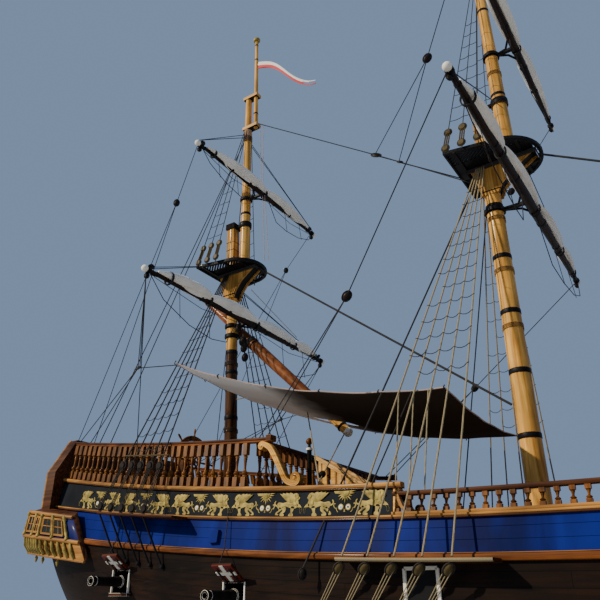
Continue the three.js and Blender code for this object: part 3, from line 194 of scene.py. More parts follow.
ALONG_X = (0.8, 14, 14)
ALONG_Y = (14, 0.8, 14)
ALONG_Z = (14, 14, 0.8)
HULL = wood("hull_brown", (0.003, 0.002, 0.002), (0.020, 0.008, 0.004), ALONG_X, 0.55, 0.15, 0.5, 0.6,
            hull_seams)
DECK = wood("deck_planks", (0.12, 0.07, 0.035), (0.34, 0.21, 0.11), ALONG_X, 0.6, 0.0, 0.4, 0.3, deck_seams)
GOLDEN = wood("golden_varnish", (0.20, 0.085, 0.022), (0.54, 0.27, 0.070), ALONG_X, 0.5, 0.2, 0.15, 0.45)
WALE = wood("wale_varnish", (0.070, 0.020, 0.005), (0.30, 0.095, 0.022), ALONG_X, 0.55, 0.2, 0.15, 0.5)
TURNED = wood("turned_varnish", (0.025, 0.007, 0.002), (0.29, 0.105, 0.018), ALONG_Z, 0.42, 0.3, 0.1, 0.55)
BROWN = wood("brown_varnish", (0.022, 0.008, 0.004), (0.12, 0.042, 0.014), ALONG_X, 0.5, 0.3, 0.15, 0.4)
BROWN_Z = wood("brown_mast", (0.014, 0.007, 0.004), (0.13, 0.062, 0.026), ALONG_Z, 0.22, 0.8, 0.2, 0.5)
YELLOW = wood("yellow_mast", (0.40, 0.17, 0.026), (0.88, 0.50, 0.12), ALONG_Z, 0.32, 0.5, 0.15, 0.35)
YELLOW_X = wood("yellow_boards", (0.42, 0.18, 0.028), (0.90, 0.52, 0.13), ALONG_X, 0.35, 0.5, 0.15, 0.3)
YARD = wood("dark_yard", (0.006, 0.004, 0.004), (0.040, 0.020, 0.013), ALONG_Y, 0.4, 0.3, 0.2, 0.4)
RED_SPAR = wood("red_spar", (0.085, 0.024, 0.008), (0.36, 0.12, 0.035), (3, 14, 3), 0.42, 0.3, 0.2, 0.5)
HEADWOOD = wood("masthead_boards", (0.22, 0.095, 0.018), (0.62, 0.34, 0.085), ALONG_Z, 0.75, 0.0, 0.2, 0.3)
CAP_BLACK = wood("matt_black", (0.006, 0.005, 0.005), (0.018, 0.014, 0.012), ALONG_Z, 0.85, 0.0, 0.2, 0.3)
LIGHT = wood("light_rail", (0.44, 0.22, 0.06), (0.74, 0.48, 0.20), ALONG_X, 0.4, 0.3, 0.15, 0.3)


def paint(name, colour, rough, coat=0.0, wear=0.15, metal=0.0, strength=0.12, scale=1.5, gloss=0.1):
    """Paint or metal that wear makes lighter and darker in patches."""
    n = Nodes(name, Coat_Weight=coat * PAINT_COAT, Coat_Roughness=0.06, Metallic=metal,
              Specular_IOR_Level=gloss)
    patch = n.noise((1, 1, 1), scale, 6.0, 0.3)
    low = tuple(c * (1 - wear) for c in colour)
    n.colour(n.ramp(patch, [(0.3, low), (0.7, tuple(min(1, c * (1 + wear)) for c in colour))]))
    n.rough(n.math("MULTIPLY_ADD", patch, 0.2, rough - 0.1))
    n.bump(n.noise((1, 1, 1), scale * 9, 4.0), strength, 0.004)
    return n.mat


def blue_paint():
    """Glossy blue planks that are never quite flat, so that the light runs along them in waves."""
    n = Nodes("blue_gloss", Coat_Weight=0.012, Coat_Roughness=0.12, Specular_IOR_Level=0.03)
    broad = n.noise((0.9, 0.9, 0.3), 1.2, 3.0, 0.5)
    n.colour(n.ramp(broad, [(0.38, (0.001, 0.004, 0.055)), (0.66, (0.004, 0.014, 0.17))]))
    n.rough(n.math("MULTIPLY_ADD", broad, 0.15, 0.40))
    n.bump(n.noise((1.2, 1.2, 0.5), 1.6, 3.0), 0.35, 0.02)
    return n.mat


BLUE = blue_paint()
BLACK = paint("black_paint", (0.009, 0.009, 0.010), 0.5, 0.2, gloss=0.08)
GROUND = paint("frieze_ground", (0.012, 0.015, 0.020), 0.7, 0.0, 0.35, gloss=0.03)
GOLD = paint("gold_leaf", (0.27, 0.21, 0.058), 0.5, 0.0, 0.6, 0.1, 0.6, 8.0)
WHITE = paint("white_paint", (0.80, 0.78, 0.70), 0.45, 0.1)
RED = paint("dark_red_paint", (0.13, 0.010, 0.008), 0.4, 0.2)
IRON = paint("black_iron", (0.010, 0.010, 0.012), 0.5, 0.0, 0.3, 0.4, 0.3, 6.0)
BLOCK = paint("block_wood", (0.075, 0.055, 0.022), 0.5, 0.1, 0.4, 0.0, 0.2, 12.0)
DARK_BLOCK = paint("dark_block_wood", (0.014, 0.011, 0.009), 0.5, 0.1, 0.4, 0.0, 0.2, 12.0)
LIGHT_BLUE = paint("paint_light_blue", (0.25, 0.40, 0.66), 0.5)
GLASS = paint("window_glass", (0.02, 0.03, 0.035), 0.08, 1.0, 0.2, 0.0, 0.05)


def rope(name, colour):
    """Laid rope with dark grooves."""
    n = Nodes(name, Roughness=0.85)
    lay = n.add("ShaderNodeTexWave", {"Vector": n.scaled((1, 1, 1)), "Scale": 22.0, "Distortion": 4.0})
    dark = tuple(c * 0.5 for c in colour)
    n.colour(n.ramp(lay.outputs["Fac"], [(0.2, dark), (0.8, colour)]))
    n.bump(lay.outputs["Fac"], 0.6, 0.004)
    return n.mat


TARRED = rope("tarred_rope", (0.016, 0.013, 0.012))
HEMP = rope("hemp_rope", (0.33, 0.27, 0.15))
PALE_ROPE = rope("pale_rope", (0.50, 0.38, 0.34))


def canvas(name, light, dark):
    """Woven cloth with stains and soft folds."""
    n = Nodes(name, Roughness=0.9, Sheen_Weight=0.2)
    weave = n.add("ShaderNodeTexWave", {"Vector": n.scaled((1, 1, 1)), "Scale": 60.0, "Distortion": 1.0})
    stain = n.noise((1, 1, 1), 1.7, 6.0, 0.8)
    n.colour(n.ramp(stain, [(0.35, dark), (0.65, light)]))
    folds = n.noise((2, 0.5, 2), 1.2, 2.0, 0.4)
    n.bump(n.math("ADD", n.math("MULTIPLY", weave.outputs["Fac"], 0.01), folds), 0.25, 0.03)
    return n.mat


SAILCLOTH = canvas("sail_canvas", (0.90, 0.87, 0.80), (0.78, 0.75, 0.68))
AWNING_CLOTH = canvas("awning_canvas", (0.60, 0.62, 0.64), (0.42, 0.44, 0.47))


def awning_painted_underside():
    """Underside of the thin cloth, with painted light in its aft part, where the sun would shine through, and
    painted shade forward.
    """
    n = Nodes("awning_painted_underside", Roughness=0.95, Specular_IOR_Level=0.0)
    along = n.add("ShaderNodeSeparateXYZ", {0: n.place}).outputs[0]
    share = n.math("MULTIPLY_ADD", along, 0.4, 2.75)
    blotch = n.noise((1, 1, 1), 1.7, 5.0, 0.6)
    share = n.math("ADD", share, n.math("MULTIPLY", blotch, 0.25))
    stops = [(0.35, (0.88, 0.89, 0.90)), (0.60, (0.30, 0.29, 0.28)), (0.8, (0.055, 0.045, 0.036))]
    n.colour(n.ramp(share, stops))
    n.bump(n.noise((3, 1, 3), 1.5, 4.0, 0.5), 0.3, 0.03)
    return n.mat


AWNING_PAINTED_UNDERSIDE = awning_painted_underside()


def striped():
    """Cloth that is white above and red below, by its second texture coordinate."""
    n = Nodes("pennant_stripes", Roughness=0.8, Sheen_Weight=0.3)
    weave = n.add("ShaderNodeUVMap").outputs[0]
    across = n.add("ShaderNodeSeparateXYZ", {0: weave}).outputs[1]
    stripe = n.math("GREATER_THAN", across, 0.5)
    n.colour(n.mix(stripe, (0.75, 0.75, 0.72), (0.55, 0.02, 0.03)))
    n.bump(n.noise((1, 1, 1), 30.0), 0.2, 0.004)
    return n.mat


PENNANT_CLOTH = striped()


# Shapes
class Shape:
    """Collects vertices and faces, then becomes one object."""

    def __init__(self):
        self.verts, self.faces, self.slots, self.materials = [], [], [], []

    def add(self, verts, faces, mat):
        if mat not in self.materials:
            self.materials.append(mat)
        base, slot = len(self.verts), self.materials.index(mat)
        self.verts.extend(tuple(v) for v in verts)
        self.faces.extend(tuple(base + i for i in face) for face in faces)
        self.slots.extend([slot] * len(faces))

    def loft(self, rings, mat, closed=True, caps=True):
        """Skins rings of equal count; mat is one material, or a list with one for each side of the ring."""
        n = len(rings[0])
        verts = [p for ring in rings for p in ring]
        sides = n if closed else n - 1
        groups = {}
        for i in range(sides):
            j = (i + 1) % n
            own = mat[i % len(mat)] if isinstance(mat, list) else mat
            groups.setdefault(own, []).extend(
                (r * n + i, r * n + j, (r + 1) * n + j, (r + 1) * n + i) for r in range(len(rings) - 1))
        if closed and caps:
            first = mat[0] if isinstance(mat, list) else mat
            last = (len(rings) - 1) * n
            groups.setdefault(first, []).extend([tuple(range(n))[::-1], tuple(last + i for i in range(n))])
        for own, faces in groups.items():
            self.add(verts, faces, own)

    def box(self, a, b, mat):
        """A block between two opposite corners."""
        (x0, x1), (y0, y1), (z0, z1) = (sorted(pair) for pair in zip(a, b))
        self.loft([[(x, y0, z0), (x, y1, z0), (x, y1, z1), (x, y0, z1)] for x in (x0, x1)], mat)

    def beam(self, a, b, width, height, mat, up=(0, 0, 1)):
        """A straight squared piece from a to b, with its width across and its height towards up."""
        a, b = Vector(a), Vector(b)
        along = (b - a).normalized()
        across = along.cross(Vector(up)).normalized() * width / 2
        rise = across.cross(along).normalized() * height / 2
        self.loft([[p - across - rise, p + across - rise, p + across + rise, p - across + rise]
                   for p in (a, b)], mat)

    def tube(self, points, radius, mat, sides, closed=False):
        """A round tube along points; radius is one value or one for each point."""
        points = [Vector(p) for p in points]
        count = len(points)
        normal = None
        rings = []
        for i, p in enumerate(points):
            before = points[i - 1] if i or closed else p
            after = points[(i + 1) % count] if i + 1 < count or closed else p
            along = (after - before).normalized()
            if normal is None:
                normal = along.orthogonal().normalized()
            normal = (normal - along * normal.dot(along)).normalized()
            other = along.cross(normal)
            size = radius[i] if isinstance(radius, (list, tuple)) else radius
            rings.append(ring_at(p, normal, other, size, sides))
        if closed:
            rings.append(rings[0])
        self.loft(rings, mat, caps=not closed)

    def lathe(self, foot, head, profile, mat, sides):
        """Turned work from foot to head; profile is (share of the length, radius)."""
        foot, head = Vector(foot), Vector(head)
        along = (head - foot).normalized()
        normal = along.orthogonal().normalized()
        other = along.cross(normal)
        turns = angles(sides, 0.5)
        rings = [[foot.lerp(head, t) + (normal * math.cos(a) + other * math.sin(a)) * r for a in turns]
                 for t, r in profile]
        self.loft(rings, mat)

    def band(self, a, b, radius, mat, sides=14, soft=0.12, proud=0.012):
        """A hoop from a to b that stands proud of a spar of that radius."""
        full = radius + proud
        self.lathe(a, b, [(0, radius), (soft, full), (1 - soft, full), (1, radius)], mat, sides)

    def make(self, name, body="root", slot=None, replaces=(), bevel=0.0, angle=38):
        """The finished object, cleaned, with sharp edges past angle and on its body."""
        mesh = bpy.data.meshes.new(name)
        mesh.from_pydata(self.verts, [], self.faces)
        for material in self.materials:
            mesh.materials.append(material)
        mesh.polygons.foreach_set("material_index", self.slots)
        work = bmesh.new()
        work.from_mesh(mesh)
        bmesh.ops.remove_doubles(work, verts=work.verts, dist=1e-5)
        bmesh.ops.dissolve_degenerate(work, dist=1e-6, edges=work.edges)
        bmesh.ops.recalc_face_normals(work, faces=work.faces)
        if bevel:
            sharp = [e for e in work.edges if e.is_manifold and e.calc_face_angle(0) > math.radians(50)]
            bmesh.ops.bevel(work, geom=sharp, offset=bevel, segments=1, affect="EDGES", clamp_overlap=True)
        work.to_mesh(mesh)
        work.free()
        mesh.polygons.foreach_set("use_smooth", [True] * len(mesh.polygons))
        mesh.set_sharp_from_angle(angle=math.radians(angle))
        obj = bpy.data.objects.new(name, mesh)
        bpy.context.scene.collection.objects.link(obj)
        if body:
            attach(obj, body)
        if replaces:
            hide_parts(*replaces)
        return obj


# Lines of the hull, the same as the frame's, in metres
STERN, BREAK, FRIEZE_END, CAP_END, FORECASTLE, NOSE, BOW = -12.6, -5.9, -2.75, -2.58, 7.0, 12.3, 12.9


def line(lowest, lift):
    """A line along the side that rises from amidships to both ends."""
    return lambda x: lowest + lift * ((x - 1) / 10) ** 2


wale_line, frieze_foot, frieze_head = line(2.509, 0.477), line(3.062, 0.541), line(3.625, 0.637)
rail_head, quarterdeck_line = line(4.650, 0.632), line(3.575, 0.637)
WAIST_DECK = 2.44
# Step between the sections along the side, and how thick the side is above the wale
STATION, WALL_THICK = 0.3, 0.16
# How far the side is drawn in at the frieze's foot and head and at the cap rail
FOOT_LEAN, HEAD_LEAN, RAIL_LEAN = 0.1, 0.2, 0.41


def half_breadth(x):
    """Half the breadth of the hull at the wale."""
    if x < 1:
        return 3.38 - 0.9 * ((1 - x) / 13.6) ** 2.2
    return 3.38 * (1 - ((x - 1) / 12.2) ** 3.6)


def side(x, lean):
    """Half breadth above the wale, drawn in by lean, less so towards the bow."""
    fade = 1 if x < 6 else 1 - 0.9 * (x - 6) / 6.9
    return half_breadth(x) - lean * fade


LEANS = ((wale_line, 0.0), (frieze_foot, FOOT_LEAN), (frieze_head, HEAD_LEAN), (rail_head, RAIL_LEAN))


def lean_at(x, z):
    """How far the side is drawn in at a height."""
    for (low, a), (high, b) in zip(LEANS, LEANS[1:]):
        if z <= high(x):
            return a + (b - a) * max(0, (z - low(x)) / (high(x) - low(x)))
    return LEANS[-1][1]


def on_side(x, z, hand, proud):
    """A point that far outside the ship's side above the wale."""
    return Vector((x, hand * (side(x, lean_at(x, z)) + proud), z))


def keel_line(x):
    """Height of the hull's lowest edge."""
    return -2.2 if x < 8.5 else -2.2 + 4.2 * ((x - 8.5) / 4.4) ** 2.5


def swell_line(x):
    """Height at which the hull swells out from the keel."""
    return keel_line(x) + 0.18 + 2.5 * (max(0, -5 - x) / 7.6) ** 2


def hull_side(x, z):
    """Half breadth of the lower hull at a height."""
    full = 2.6 - 1.3 * ((1 - x) / 13.6) ** 2 if x < 1 else 2.6 - 1.3 * ((x - 1) / 12) ** 2
    low, head = swell_line(x), wale_line(x) - 0.06
    up = min(1, max(0, (z - low) / (head - low)))
    return max(0.12, half_breadth(x) * (1 - (1 - up) ** full) ** (1 / full))


def spread(a, b, step, extra=()):
    """Evenly spaced values from a to b, with the extra ones that lie between them."""
    count = max(1, round((b - a) / step))
    xs = [a + (b - a) * i / count for i in range(count + 1)]
    return sorted(set(xs + [x for x in extra if a < x < b]))


def moulding(shape, curve, lean, profile, a, b, hand, mat):
    """A moulding along the side: profile holds (outward, upward) from the side at that line."""
    shape.loft([[(x, hand * (side(x, lean) + out), curve(x) + up) for out, up in profile]
                for x in spread(a, b, STATION)], mat)


def rounded(inner, outer, low, high, corner):
    """Profile of a moulding whose outer corners are rounded."""
    return [(inner, low), (outer - corner, low), (outer - corner * 0.3, low + corner * 0.3),
            (outer, low + corner), (outer, high - corner), (outer - corner * 0.3, high - corner * 0.3),
            (outer - corner, high), (inner, high)]


# Lower hull: a planked skin with openings at the gun ports
PORTS = (-9.37, -6.02)
PORT_HALF, PORT_TOP, PORT_LOW = 0.23, 0.51, 0.93
hull = Shape()
port_edges = [x + s * PORT_HALF for x in PORTS for s in BOTH]
hull_x = spread(STERN, NOSE, 0.3, port_edges) + [12.5, 12.7, BOW]
drops = [0.06, 0.2, 0.35, PORT_TOP, 0.72, PORT_LOW, 1.15, 1.4, 1.7, 2.1, 2.5]
for hand in BOTH:
    rows = []
    for x in hull_x:
        low = swell_line(x)
        column = [max(low, wale_line(x) - d) for d in drops]
        base = column[-1]
        column += [base + (low - base) * t for t in (0.25, 0.5, 0.7, 0.85, 0.95, 1)]
        points = [(x, hand * hull_side(x, z), z) for z in column] + [(x, hand * 0.12, keel_line(x))]
        rows.append(points)
    count = len(rows[0])
    faces = []
    for i in range(len(rows) - 1):
        middle = (hull_x[i] + hull_x[i + 1]) / 2
        in_port = any(abs(middle - x) < PORT_HALF for x in PORTS)
        for k in range(count - 1):
            if in_port and k in (3, 4):
                continue
            faces.append((i * count + k, i * count + k + 1, (i + 1) * count + k + 1, (i + 1) * count + k))
    hull.add([p for row in rows for p in row], faces, HULL)
# Transom below the gallery, and the blunt nose behind the stem
for x in (STERN, BOW):
    rim = [(y, z) for z in [wale_line(x) - 0.06 - d for d in (0, 0.3, 0.7, 1.1, 1.6, 2.2)] + [swell_line(x)]
           for y in (hull_side(x, z),) if z >= swell_line(x)]
    ring = [(x, -y, z) for y, z in rim] + [(x, -0.12, keel_line(x)), (x, 0.12, keel_line(x))]
    hull.add(ring + [(x, y, z) for y, z in reversed(rim)], [tuple(range(2 * len(rim) + 2))], HULL)
# Waist deck, and the tops of the side inside the wale
deck = [[(x, -half_breadth(x) + 0.17, WAIST_DECK), (x, half_breadth(x) - 0.17, WAIST_DECK)]
        for x in spread(BREAK, FORECASTLE, 0.6)]
hull.loft(deck, DECK, closed=False)
PORT_DEEP = 0.5
for x in PORTS:
    for hand in BOTH:
        top, low, y = wale_line(x) - PORT_TOP, wale_line(x) - PORT_LOW, half_breadth(x)
        corner = [(x + i * PORT_HALF, z) for i, z in ((-1, low), (1, low), (1, top), (-1, top))]
        hull.loft([[(px, v, pz) for px, pz in corner] for v in (hand * (y - PORT_DEEP), hand * (y - 0.02))],
                  BLACK, caps=False)
        hull.add([(px, hand * (y - PORT_DEEP), pz) for px, pz in corner], [(0, 1, 2, 3)], BLACK)
hull.make("hull_skin", slot="hull_brown_wood", replaces=["hull_lower"])

# Port frames, brows and guns
GUN_DROP, MUZZLE = 0.72, 0.8
BARREL = [(0, 0.12), (0.35, 0.112), (0.36, 0.125), (0.40, 0.125), (0.41, 0.105), (0.86, 0.088), (0.87, 0.098),
          (0.90, 0.098), (0.91, 0.086), (0.96, 0.098), (0.985, 0.105), (1, 0.09), (1, 0.05), (0.8, 0.045)]
fittings = Shape()
for x in PORTS:
    for hand in BOTH:
        top, low, y = wale_line(x) - PORT_TOP, wale_line(x) - PORT_LOW, half_breadth(x)
        for s in BOTH:
            post, out = x + s * (PORT_HALF + 0.02), hand * y
            fittings.beam((post, out, low - 0.03), (post, out, top + 0.02), 0.05, 0.028, WHITE, (1, 0, 0))
        for half, inset, z, tall in ((0.29, 0.04, top + 0.039, 0.07), (0.28, 0, low - 0.04, 0.06)):
            out = hand * (y - inset)
            fittings.beam((x - half, out, z), (x + half, out, z), 0.10, tall, BROWN)
        centre = wale_line(x) - GUN_DROP
        fittings.lathe((x, hand * (y - PORT_DEEP), centre), (x, hand * (y + MUZZLE), centre), BARREL,
                       CAP_BLACK, 20)
# Window with a white frame under the main channel
WINDOW_X, WINDOW_Z = (-2.53, -1.99), (1.72, 2.40)
for hand in BOTH:
    (x0, x1), (z0, z1) = WINDOW_X, WINDOW_Z
    y = hand * (half_breadth((x0 + x1) / 2) - 0.02)
    fittings.box((x0, y, z0), (x1, y + hand * 0.03, z1), BLACK)
    y = y + hand * 0.03
    corner = [(x0, y, z0), (x1, y, z0), (x1, y, z1), (x0, y, z1), (x0, y, z0)]
    for a, b in zip(corner, corner[1:]):
        fittings.beam(a, b, 0.055, 0.055, WHITE, (0, 1, 0))
fittings.make("guns_and_port_frames", slot="black_iron", bevel=0.004)

# Main wale with its thin light top edge, and the channels under it
wale = Shape()
for hand in BOTH:
    moulding(wale, wale_line, 0, rounded(-0.11, 0.075, -0.06, 0.045, 0.035), STERN, BOW, hand, WALE)
    moulding(wale, wale_line, 0, rounded(-0.11, 0.04, 0.046, 0.06, 0.006), STERN, BOW, hand, GOLDEN)


def channel(shape, curve, lean, rise, a, b, proud, mat, edge_mat, hand):
    """The board from a to b that holds the shrouds off the side."""
    profile = [(0.02, rise - 0.06), (proud, rise - 0.055), (proud + 0.02, rise - 0.03),
               (proud + 0.02, rise - 0.008), (proud, rise), (0.02, rise)]
    rings = [[(x, hand * (side(x, lean) + out), curve(x) + up) for out, up in profile]
             for x in spread(a, b, 0.4)]
    shape.loft(rings, [mat, edge_mat, edge_mat, edge_mat, mat, mat])


SHROUD_FEET = {
    "mizzen": [-9.98 + 0.3925 * i for i in range(5)],
    "main": [-3.43 + 0.46 * i for i in range(5)],
    "fore": [6.5 + 0.46 * i for i in range(5)],
}
for hand in BOTH:
    channel(wale, wale_line, 0, -0.03, -3.54, -0.99, 0.43, BROWN, HEMP, hand)
    channel(wale, wale_line, 0, -0.03, 6.39, 8.74, 0.43, BROWN, HEMP, hand)
wale.make("wale_and_channels", slot="varnished_wood", replaces=["main_wale"], bevel=0.004)


def wall(shape, low, low_lean, high, high_lean, a, b, hand, outer, inner, seams=()):
    """A planked side from one line to another, with a groove at each seam (a share of its height)."""
    rings = []
    for x in spread(a, b, STATION):
        (z0, y0), (z1, y1) = (low(x), side(x, low_lean)), (high(x), side(x, high_lean))
        outline = [(0, 0)]
        for t in seams:
            outline += [(t - 0.006, 0), (t, -0.012), (t + 0.006, 0)]
        outline += [(1, 0)]
        ring = [(x, hand * (y0 + (y1 - y0) * t + d), z0 + (z1 - z0) * t) for t, d in outline]
        ring += [(x, hand * (y1 - WALL_THICK), z1), (x, hand * (y0 - WALL_THICK), z0)]
        rings.append(ring)
    sides = len(rings[0])
    shape.loft(rings, [outer] * (sides - 3) + [inner] * 3)


strake = Shape()
for hand in BOTH:
    wall(strake, lambda x: wale_line(x) + 0.06, 0, frieze_foot, FOOT_LEAN, STERN, BOW, hand, BLUE, BROWN,
         (0.36, 0.72))
strake.make("blue_strakes", slot="blue_paint", replaces=["blue_strake"])

sheer = Shape()
for hand in BOTH:
    moulding(sheer, frieze_foot, FOOT_LEAN, rounded(-0.16, 0.05, 0.0, 0.032, 0.015), STERN, BOW, hand, BROWN)
    moulding(sheer, frieze_foot, FOOT_LEAN, rounded(-0.16, 0.06, 0.03, 0.07, 0.018), STERN, BOW, hand, GOLDEN)
    channel(sheer, frieze_foot, FOOT_LEAN, 0.03, -10.04, -7.46, 0.48, BROWN, BROWN, hand)
    # A small blue box on the strake
    corner = [on_side(x, z, hand, -0.02)
              for x, z in ((-6.71, 2.95), (-6.49, 2.95), (-6.49, 3.18), (-6.71, 3.18))]
    sheer.loft([corner, [p + Vector((0, hand * 0.1, 0)) for p in corner]], BLUE)
sheer.make("sheer_rails", slot="varnished_wood", replaces=["sheer_rail"], bevel=0.004)

# Friezes: a dark ground under gilded relief
ground = Shape()
for hand in BOTH:
    wall(ground, lambda x: frieze_foot(x) + 0.07, FOOT_LEAN, lambda x: frieze_head(x) - 0.07, HEAD_LEAN,
         STERN, FRIEZE_END, hand, GROUND, BROWN)
ground.make("frieze_ground", slot="black_paint", replaces=["frieze_starboard", "frieze_port"])
fore_side = Shape()
for hand in BOTH:
    wall(fore_side, lambda x: frieze_foot(x) + 0.07, FOOT_LEAN, lambda x: frieze_head(x) - 0.05, HEAD_LEAN,
         FORECASTLE, BOW, hand, GROUND, BROWN)
    moulding(fore_side, frieze_head, HEAD_LEAN, rounded(-0.17, 0.0, -0.055, 0.0, 0.02), FORECASTLE, BOW, hand,
             GOLDEN)
fore_side.make("forecastle_sides", slot="black_paint", replaces=["forecastle_bulwark"], bevel=0.004)


# Gilded relief: half suns, winged lions and vines with roundels
def catmull_rom(p, t):
    """A point between the middle two of four points."""
    return 0.5 * ((2 * p[1]) + (p[2] - p[0]) * t + (2 * p[0] - 5 * p[1] + 4 * p[2] - p[3]) * t * t
                  + (3 * p[1] - p[0] - 3 * p[2] + p[3]) * t ** 3)


def smooth_outline(points, steps=4):
    """A closed smooth curve through points."""
    count = len(points)
    fours = [[Vector(points[(i + k - 1) % count]) for k in range(4)] for i in range(count)]
    return [catmull_rom(four, s / steps) for four in fours for s in range(steps)]


def relief(outlines, raise_by, bevel):
    """Vertices and faces of flat shapes raised with a soft edge; z is the height above their plane."""
    curve = bpy.data.curves.new("relief", "CURVE")
    curve.dimensions = "2D"
    curve.fill_mode = "BOTH"
    curve.extrude = raise_by
    curve.bevel_depth = bevel
    curve.bevel_resolution = 1
    curve.offset = -bevel
    for points in outlines:
        spline = curve.splines.new("POLY")
        spline.points.add(len(points) - 1)
        for target, p in zip(spline.points, points):
            target.co = (p[0], p[1], 0, 1)
        spline.use_cyclic_u = True
    holder = bpy.data.objects.new("relief", curve)
    bpy.context.scene.collection.objects.link(holder)
    bpy.context.view_layer.update()
    mesh = bpy.data.meshes.new_from_object(holder.evaluated_get(bpy.context.evaluated_depsgraph_get()))
    bpy.data.objects.remove(holder)
    bpy.data.curves.remove(curve)
    verts = [tuple(v.co) for v in mesh.vertices]
    faces = [tuple(p.vertices) for p in mesh.polygons]
    bpy.data.meshes.remove(mesh)
    return verts, faces


# Winged lion in profile; x runs away from the sun beside it and y up from the foot of the frieze
LION_BODY = [
    (0.335, 0.245), (0.43, 0.232), (0.52, 0.262), (0.58, 0.31), (0.615, 0.355), (0.655, 0.393), (0.71, 0.405),
    (0.762, 0.386), (0.785, 0.345), (0.805, 0.315), (0.785, 0.292), (0.765, 0.27), (0.782, 0.23),
    (0.772, 0.18), (0.735, 0.14), (0.69, 0.125), (0.63, 0.13), (0.55, 0.152), (0.48, 0.165), (0.42, 0.135),
    (0.36, 0.115), (0.31, 0.135), (0.283, 0.18), (0.295, 0.225),
]
LION_LEGS = [
    [(0.35, 0.16), (0.325, 0.095), (0.285, 0.07), (0.262, 0.04), (0.266, 0.014), (0.33, 0.01), (0.338, 0.03),
     (0.308, 0.046), (0.36, 0.078), (0.42, 0.12)],
    [(0.42, 0.15), (0.43, 0.09), (0.385, 0.05), (0.377, 0.008), (0.452, 0.003), (0.458, 0.026),
     (0.428, 0.042), (0.485, 0.085), (0.49, 0.15)],
    [(0.62, 0.16), (0.612, 0.06), (0.585, 0.033), (0.575, 0.004), (0.66, 0.0), (0.668, 0.028), (0.65, 0.06),
     (0.69, 0.15)],
    [(0.74, 0.17), (0.79, 0.15), (0.823, 0.115), (0.826, 0.066), (0.85, 0.052), (0.862, 0.08), (0.855, 0.13),
     (0.822, 0.18), (0.77, 0.21)],
]
LION_WING = [
    (0.62, 0.235), (0.555, 0.245), (0.485, 0.275), (0.42, 0.325), (0.375, 0.362), (0.335, 0.40),
    (0.405, 0.386), (0.395, 0.412), (0.475, 0.398), (0.475, 0.416), (0.56, 0.402), (0.565, 0.416),
    (0.635, 0.398), (0.675, 0.33), (0.668, 0.262),
]
LION_MANE = [
    (0.60, 0.33), (0.63, 0.375), (0.675, 0.398), (0.705, 0.375), (0.695, 0.335), (0.72, 0.30), (0.715, 0.25),
    (0.735, 0.20), (0.69, 0.175), (0.65, 0.205), (0.655, 0.26), (0.625, 0.285),
]
LION_TAIL = [(0.31, 0.20), (0.268, 0.197), (0.245, 0.225), (0.262, 0.262), (0.243, 0.272), (0.215, 0.232),
             (0.232, 0.185), (0.285, 0.165)]
FEATHERS = [[(0.60 - k * 0.012, 0.262 + k * 0.024), (0.47 - k * 0.022, 0.305 + k * 0.021),
             (0.474 - k * 0.022, 0.315 + k * 0.021), (0.606 - k * 0.012, 0.275 + k * 0.024)]
            for k in range(4)]
SUN_Y, SUN_HALF, FACE = 0.415, 0.235, 0.105


def sun_outline():
    """The lower part of a sun, its straight edge up, with nine pointed rays."""
    points = [(-SUN_HALF, SUN_Y)]
    for k in range(9):
        a = math.pi + math.pi * (k + 0.35) / 8.7
        reach = 0.20 if k % 2 == 0 else 0.165
        points.append((reach * 1.04 * math.cos(a), SUN_Y - 0.02 + reach * math.sin(a)))
        b = a + math.pi / 17.4
        points.append((0.085 * math.cos(b), SUN_Y - 0.03 + 0.085 * math.sin(b)))
    points.append((SUN_HALF, SUN_Y))
    return points


def disc(x, y, r, n=14):
    return [(x + r * math.cos(a), y + r * math.sin(a)) for a in angles(n)]


def vine(points, width):
    """A thin band along points, as an outline."""
    left, right = [], []
    for i, p in enumerate(points):
        a, b = Vector(points[max(0, i - 1)]), Vector(points[min(len(points) - 1, i + 1)])
        along = (b - a).normalized()
        across = Vector((-along.y, along.x)) * width / 2
        left.append(Vector(p) + across)
        right.append(Vector(p) - across)
    return left + right[::-1]


def arc(x, y, r, start, end, n):
    return [(x + r * math.cos(a), y + r * math.sin(a)) for a in sweep(start, end, n)]


LION = [([smooth_outline(part) for part in [LION_BODY, LION_TAIL] + LION_LEGS], 0.010, 0.005),
        ([smooth_outline(LION_WING, 3)], 0.017, 0.005), ([smooth_outline(LION_MANE)], 0.017, 0.005),
        ([disc(0.745, 0.342, 0.035)] + FEATHERS, 0.022, 0.003)]
CENTRE = [([sun_outline()], 0.008, 0.004), ([arc(0, SUN_Y - 0.005, FACE - 0.01, 180, 360, 14)], 0.016, 0.006),
          ([disc(s * 0.034, SUN_Y - 0.04, 0.012, 8) for s in BOTH]
           + [vine(arc(0, SUN_Y - 0.052, 0.028, 215, 325, 5), 0.009)], 0.022, 0.003)]
HOOK = ((0.165, 0.115), (0.205, 0.13), (0.225, 0.17), (0.21, 0.205), (0.185, 0.195))
CURLS = []
for s in BOTH:
    CURLS += [vine([(s * x, y) for x, y in arc(0.075, 0.135, 0.095, -115, -3, 7)], 0.014),
              vine([(s * x, y) for x, y in HOOK], 0.016),
              vine([(s * x, y) for x, y in ((0.02, 0.06), (0, 0.085), (0.02, 0.11))], 0.012)]
CENTRE.append((CURLS, 0.007, 0.003))
LION_PARTS = [relief(*part) for part in LION]
CENTRE_PARTS = [relief(*part) for part in CENTRE]
ROUNDEL = [relief([disc(0, 0, 0.056, 18)], 0.008, 0.004), relief([disc(0, 0, 0.038, 16)], 0.012, 0.003),
           relief([disc(0, 0, 0.020, 12)], 0.016, 0.003)]
SUNS = [-3.667 - 1.765 * k for k in range(5)]
FRIEZE_MARGIN = 0.085


